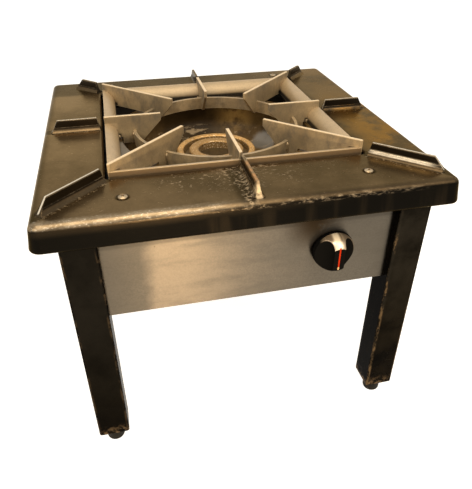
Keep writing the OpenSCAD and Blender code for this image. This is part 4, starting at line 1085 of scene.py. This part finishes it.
class STOVE_OT_stage(bpy.types.Operator):
    """Set up floor, light and camera"""

    bl_idname = "stove.stage"
    bl_label = "Studio"

    def execute(self, context):
        _, _, stage = settings(context)
        scene = context.scene
        scene.view_settings.view_transform = "Standard"
        self.floor(stage)
        self.room(scene, stage)
        for name, place, aim, size, strength, tint in LAMPS:
            lamp(name, place, aim, size, getattr(stage, strength), getattr(stage, tint))
        data = bpy.data.cameras.new("Camera")
        data.lens = stage.lens
        camera = bpy.data.objects.new("Camera", data)
        camera.location = stage.camera
        camera.rotation_euler = Vector(stage.aim).to_track_quat("-Z", "Y").to_euler()
        scene.collection.objects.link(camera)
        scene.camera = camera
        return {"FINISHED"}

    @staticmethod
    def floor(stage):
        """Pale floor that reads as white to the camera and keeps the shadow."""
        half = 8.0
        drop = 0.0004
        corners = [(-half, -half, 0), (half, -half, 0), (half, half, 0), (-half, half, 0)]
        mesh = bpy.data.meshes.new("floor")
        mesh.from_pydata(corners, [], [(0, 1, 2, 3)])
        made = bpy.data.objects.new("floor", mesh)
        made.location.z = -drop
        bpy.context.scene.collection.objects.link(made)
        material = bpy.data.materials.new("Floor")
        tree = empty_tree(material)
        matt = tree.nodes.new("ShaderNodeBsdfDiffuse")
        matt.inputs["Color"].default_value = (*stage.floor, 1)
        glow = tree.nodes.new("ShaderNodeEmission")
        strength = tree.nodes.new("ShaderNodeMath")
        strength.operation = "MULTIPLY"
        tree.links.new(sees_background(tree), strength.inputs[0])
        strength.inputs[1].default_value = stage.glow
        tree.links.new(strength.outputs[0], glow.inputs["Strength"])
        both = tree.nodes.new("ShaderNodeAddShader")
        tree.links.new(matt.outputs[0], both.inputs[0])
        tree.links.new(glow.outputs[0], both.inputs[1])
        output = tree.nodes.new("ShaderNodeOutputMaterial")
        tree.links.new(both.outputs[0], output.inputs["Surface"])
        mesh.materials.append(material)

    @staticmethod
    def room(scene, stage):
        """White to the camera, dim and warm as light."""
        world = bpy.data.worlds.new("Room")
        scene.world = world
        tree = empty_tree(world)
        white = tree.nodes.new("ShaderNodeBackground")
        white.inputs["Color"].default_value = (1, 1, 1, 1)
        warm = tree.nodes.new("ShaderNodeBackground")
        warm.inputs["Color"].default_value = (*stage.room, 1)
        mix = tree.nodes.new("ShaderNodeMixShader")
        tree.links.new(sees_background(tree), mix.inputs[0])
        tree.links.new(warm.outputs[0], mix.inputs[1])
        tree.links.new(white.outputs[0], mix.inputs[2])
        output = tree.nodes.new("ShaderNodeOutputWorld")
        tree.links.new(mix.outputs[0], output.inputs["Surface"])


class STOVE_PT_looks(bpy.types.Panel):
    """Settings and steps of the stove's looks"""

    bl_idname = "STOVE_PT_looks"
    bl_label = "Stockpot stove"
    bl_space_type = "VIEW_3D"
    bl_region_type = "UI"
    bl_category = "Stove"

    def draw(self, context):
        for group in settings(context):
            column = self.layout.column(align=True)
            for name in group.__annotations__:
                column.prop(group, name)
        for step in STEPS:
            self.layout.operator(step.bl_idname)


STEPS = (
    STOVE_OT_enamel, STOVE_OT_panels, STOVE_OT_pan_support, STOVE_OT_bowl, STOVE_OT_burner,
    STOVE_OT_gas_train, STOVE_OT_fasteners, STOVE_OT_knob, STOVE_OT_feet, STOVE_OT_stage,
)
CLASSES = (StoveFinish, StoveDetail, StoveStage, *STEPS, STOVE_PT_looks)


def register():
    for kind in CLASSES:
        bpy.utils.register_class(kind)
    bpy.types.Scene.stove_finish = PointerProperty(type=StoveFinish)
    bpy.types.Scene.stove_detail = PointerProperty(type=StoveDetail)
    bpy.types.Scene.stove_stage = PointerProperty(type=StoveStage)


def unregister():
    for name in ("stove_stage", "stove_detail", "stove_finish"):
        delattr(bpy.types.Scene, name)
    for kind in reversed(CLASSES):
        bpy.utils.unregister_class(kind)


def main():
    """Builds the looks."""
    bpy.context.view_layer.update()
    register()
    bpy.ops.stove.enamel()
    bpy.ops.stove.panels()
    bpy.ops.stove.pan_support()
    bpy.ops.stove.bowl()
    bpy.ops.stove.burner()
    bpy.ops.stove.gas_train()
    bpy.ops.stove.fasteners()
    bpy.ops.stove.knob()
    bpy.ops.stove.feet()
    bpy.ops.stove.stage()


if __name__ == "__main__":
    main()
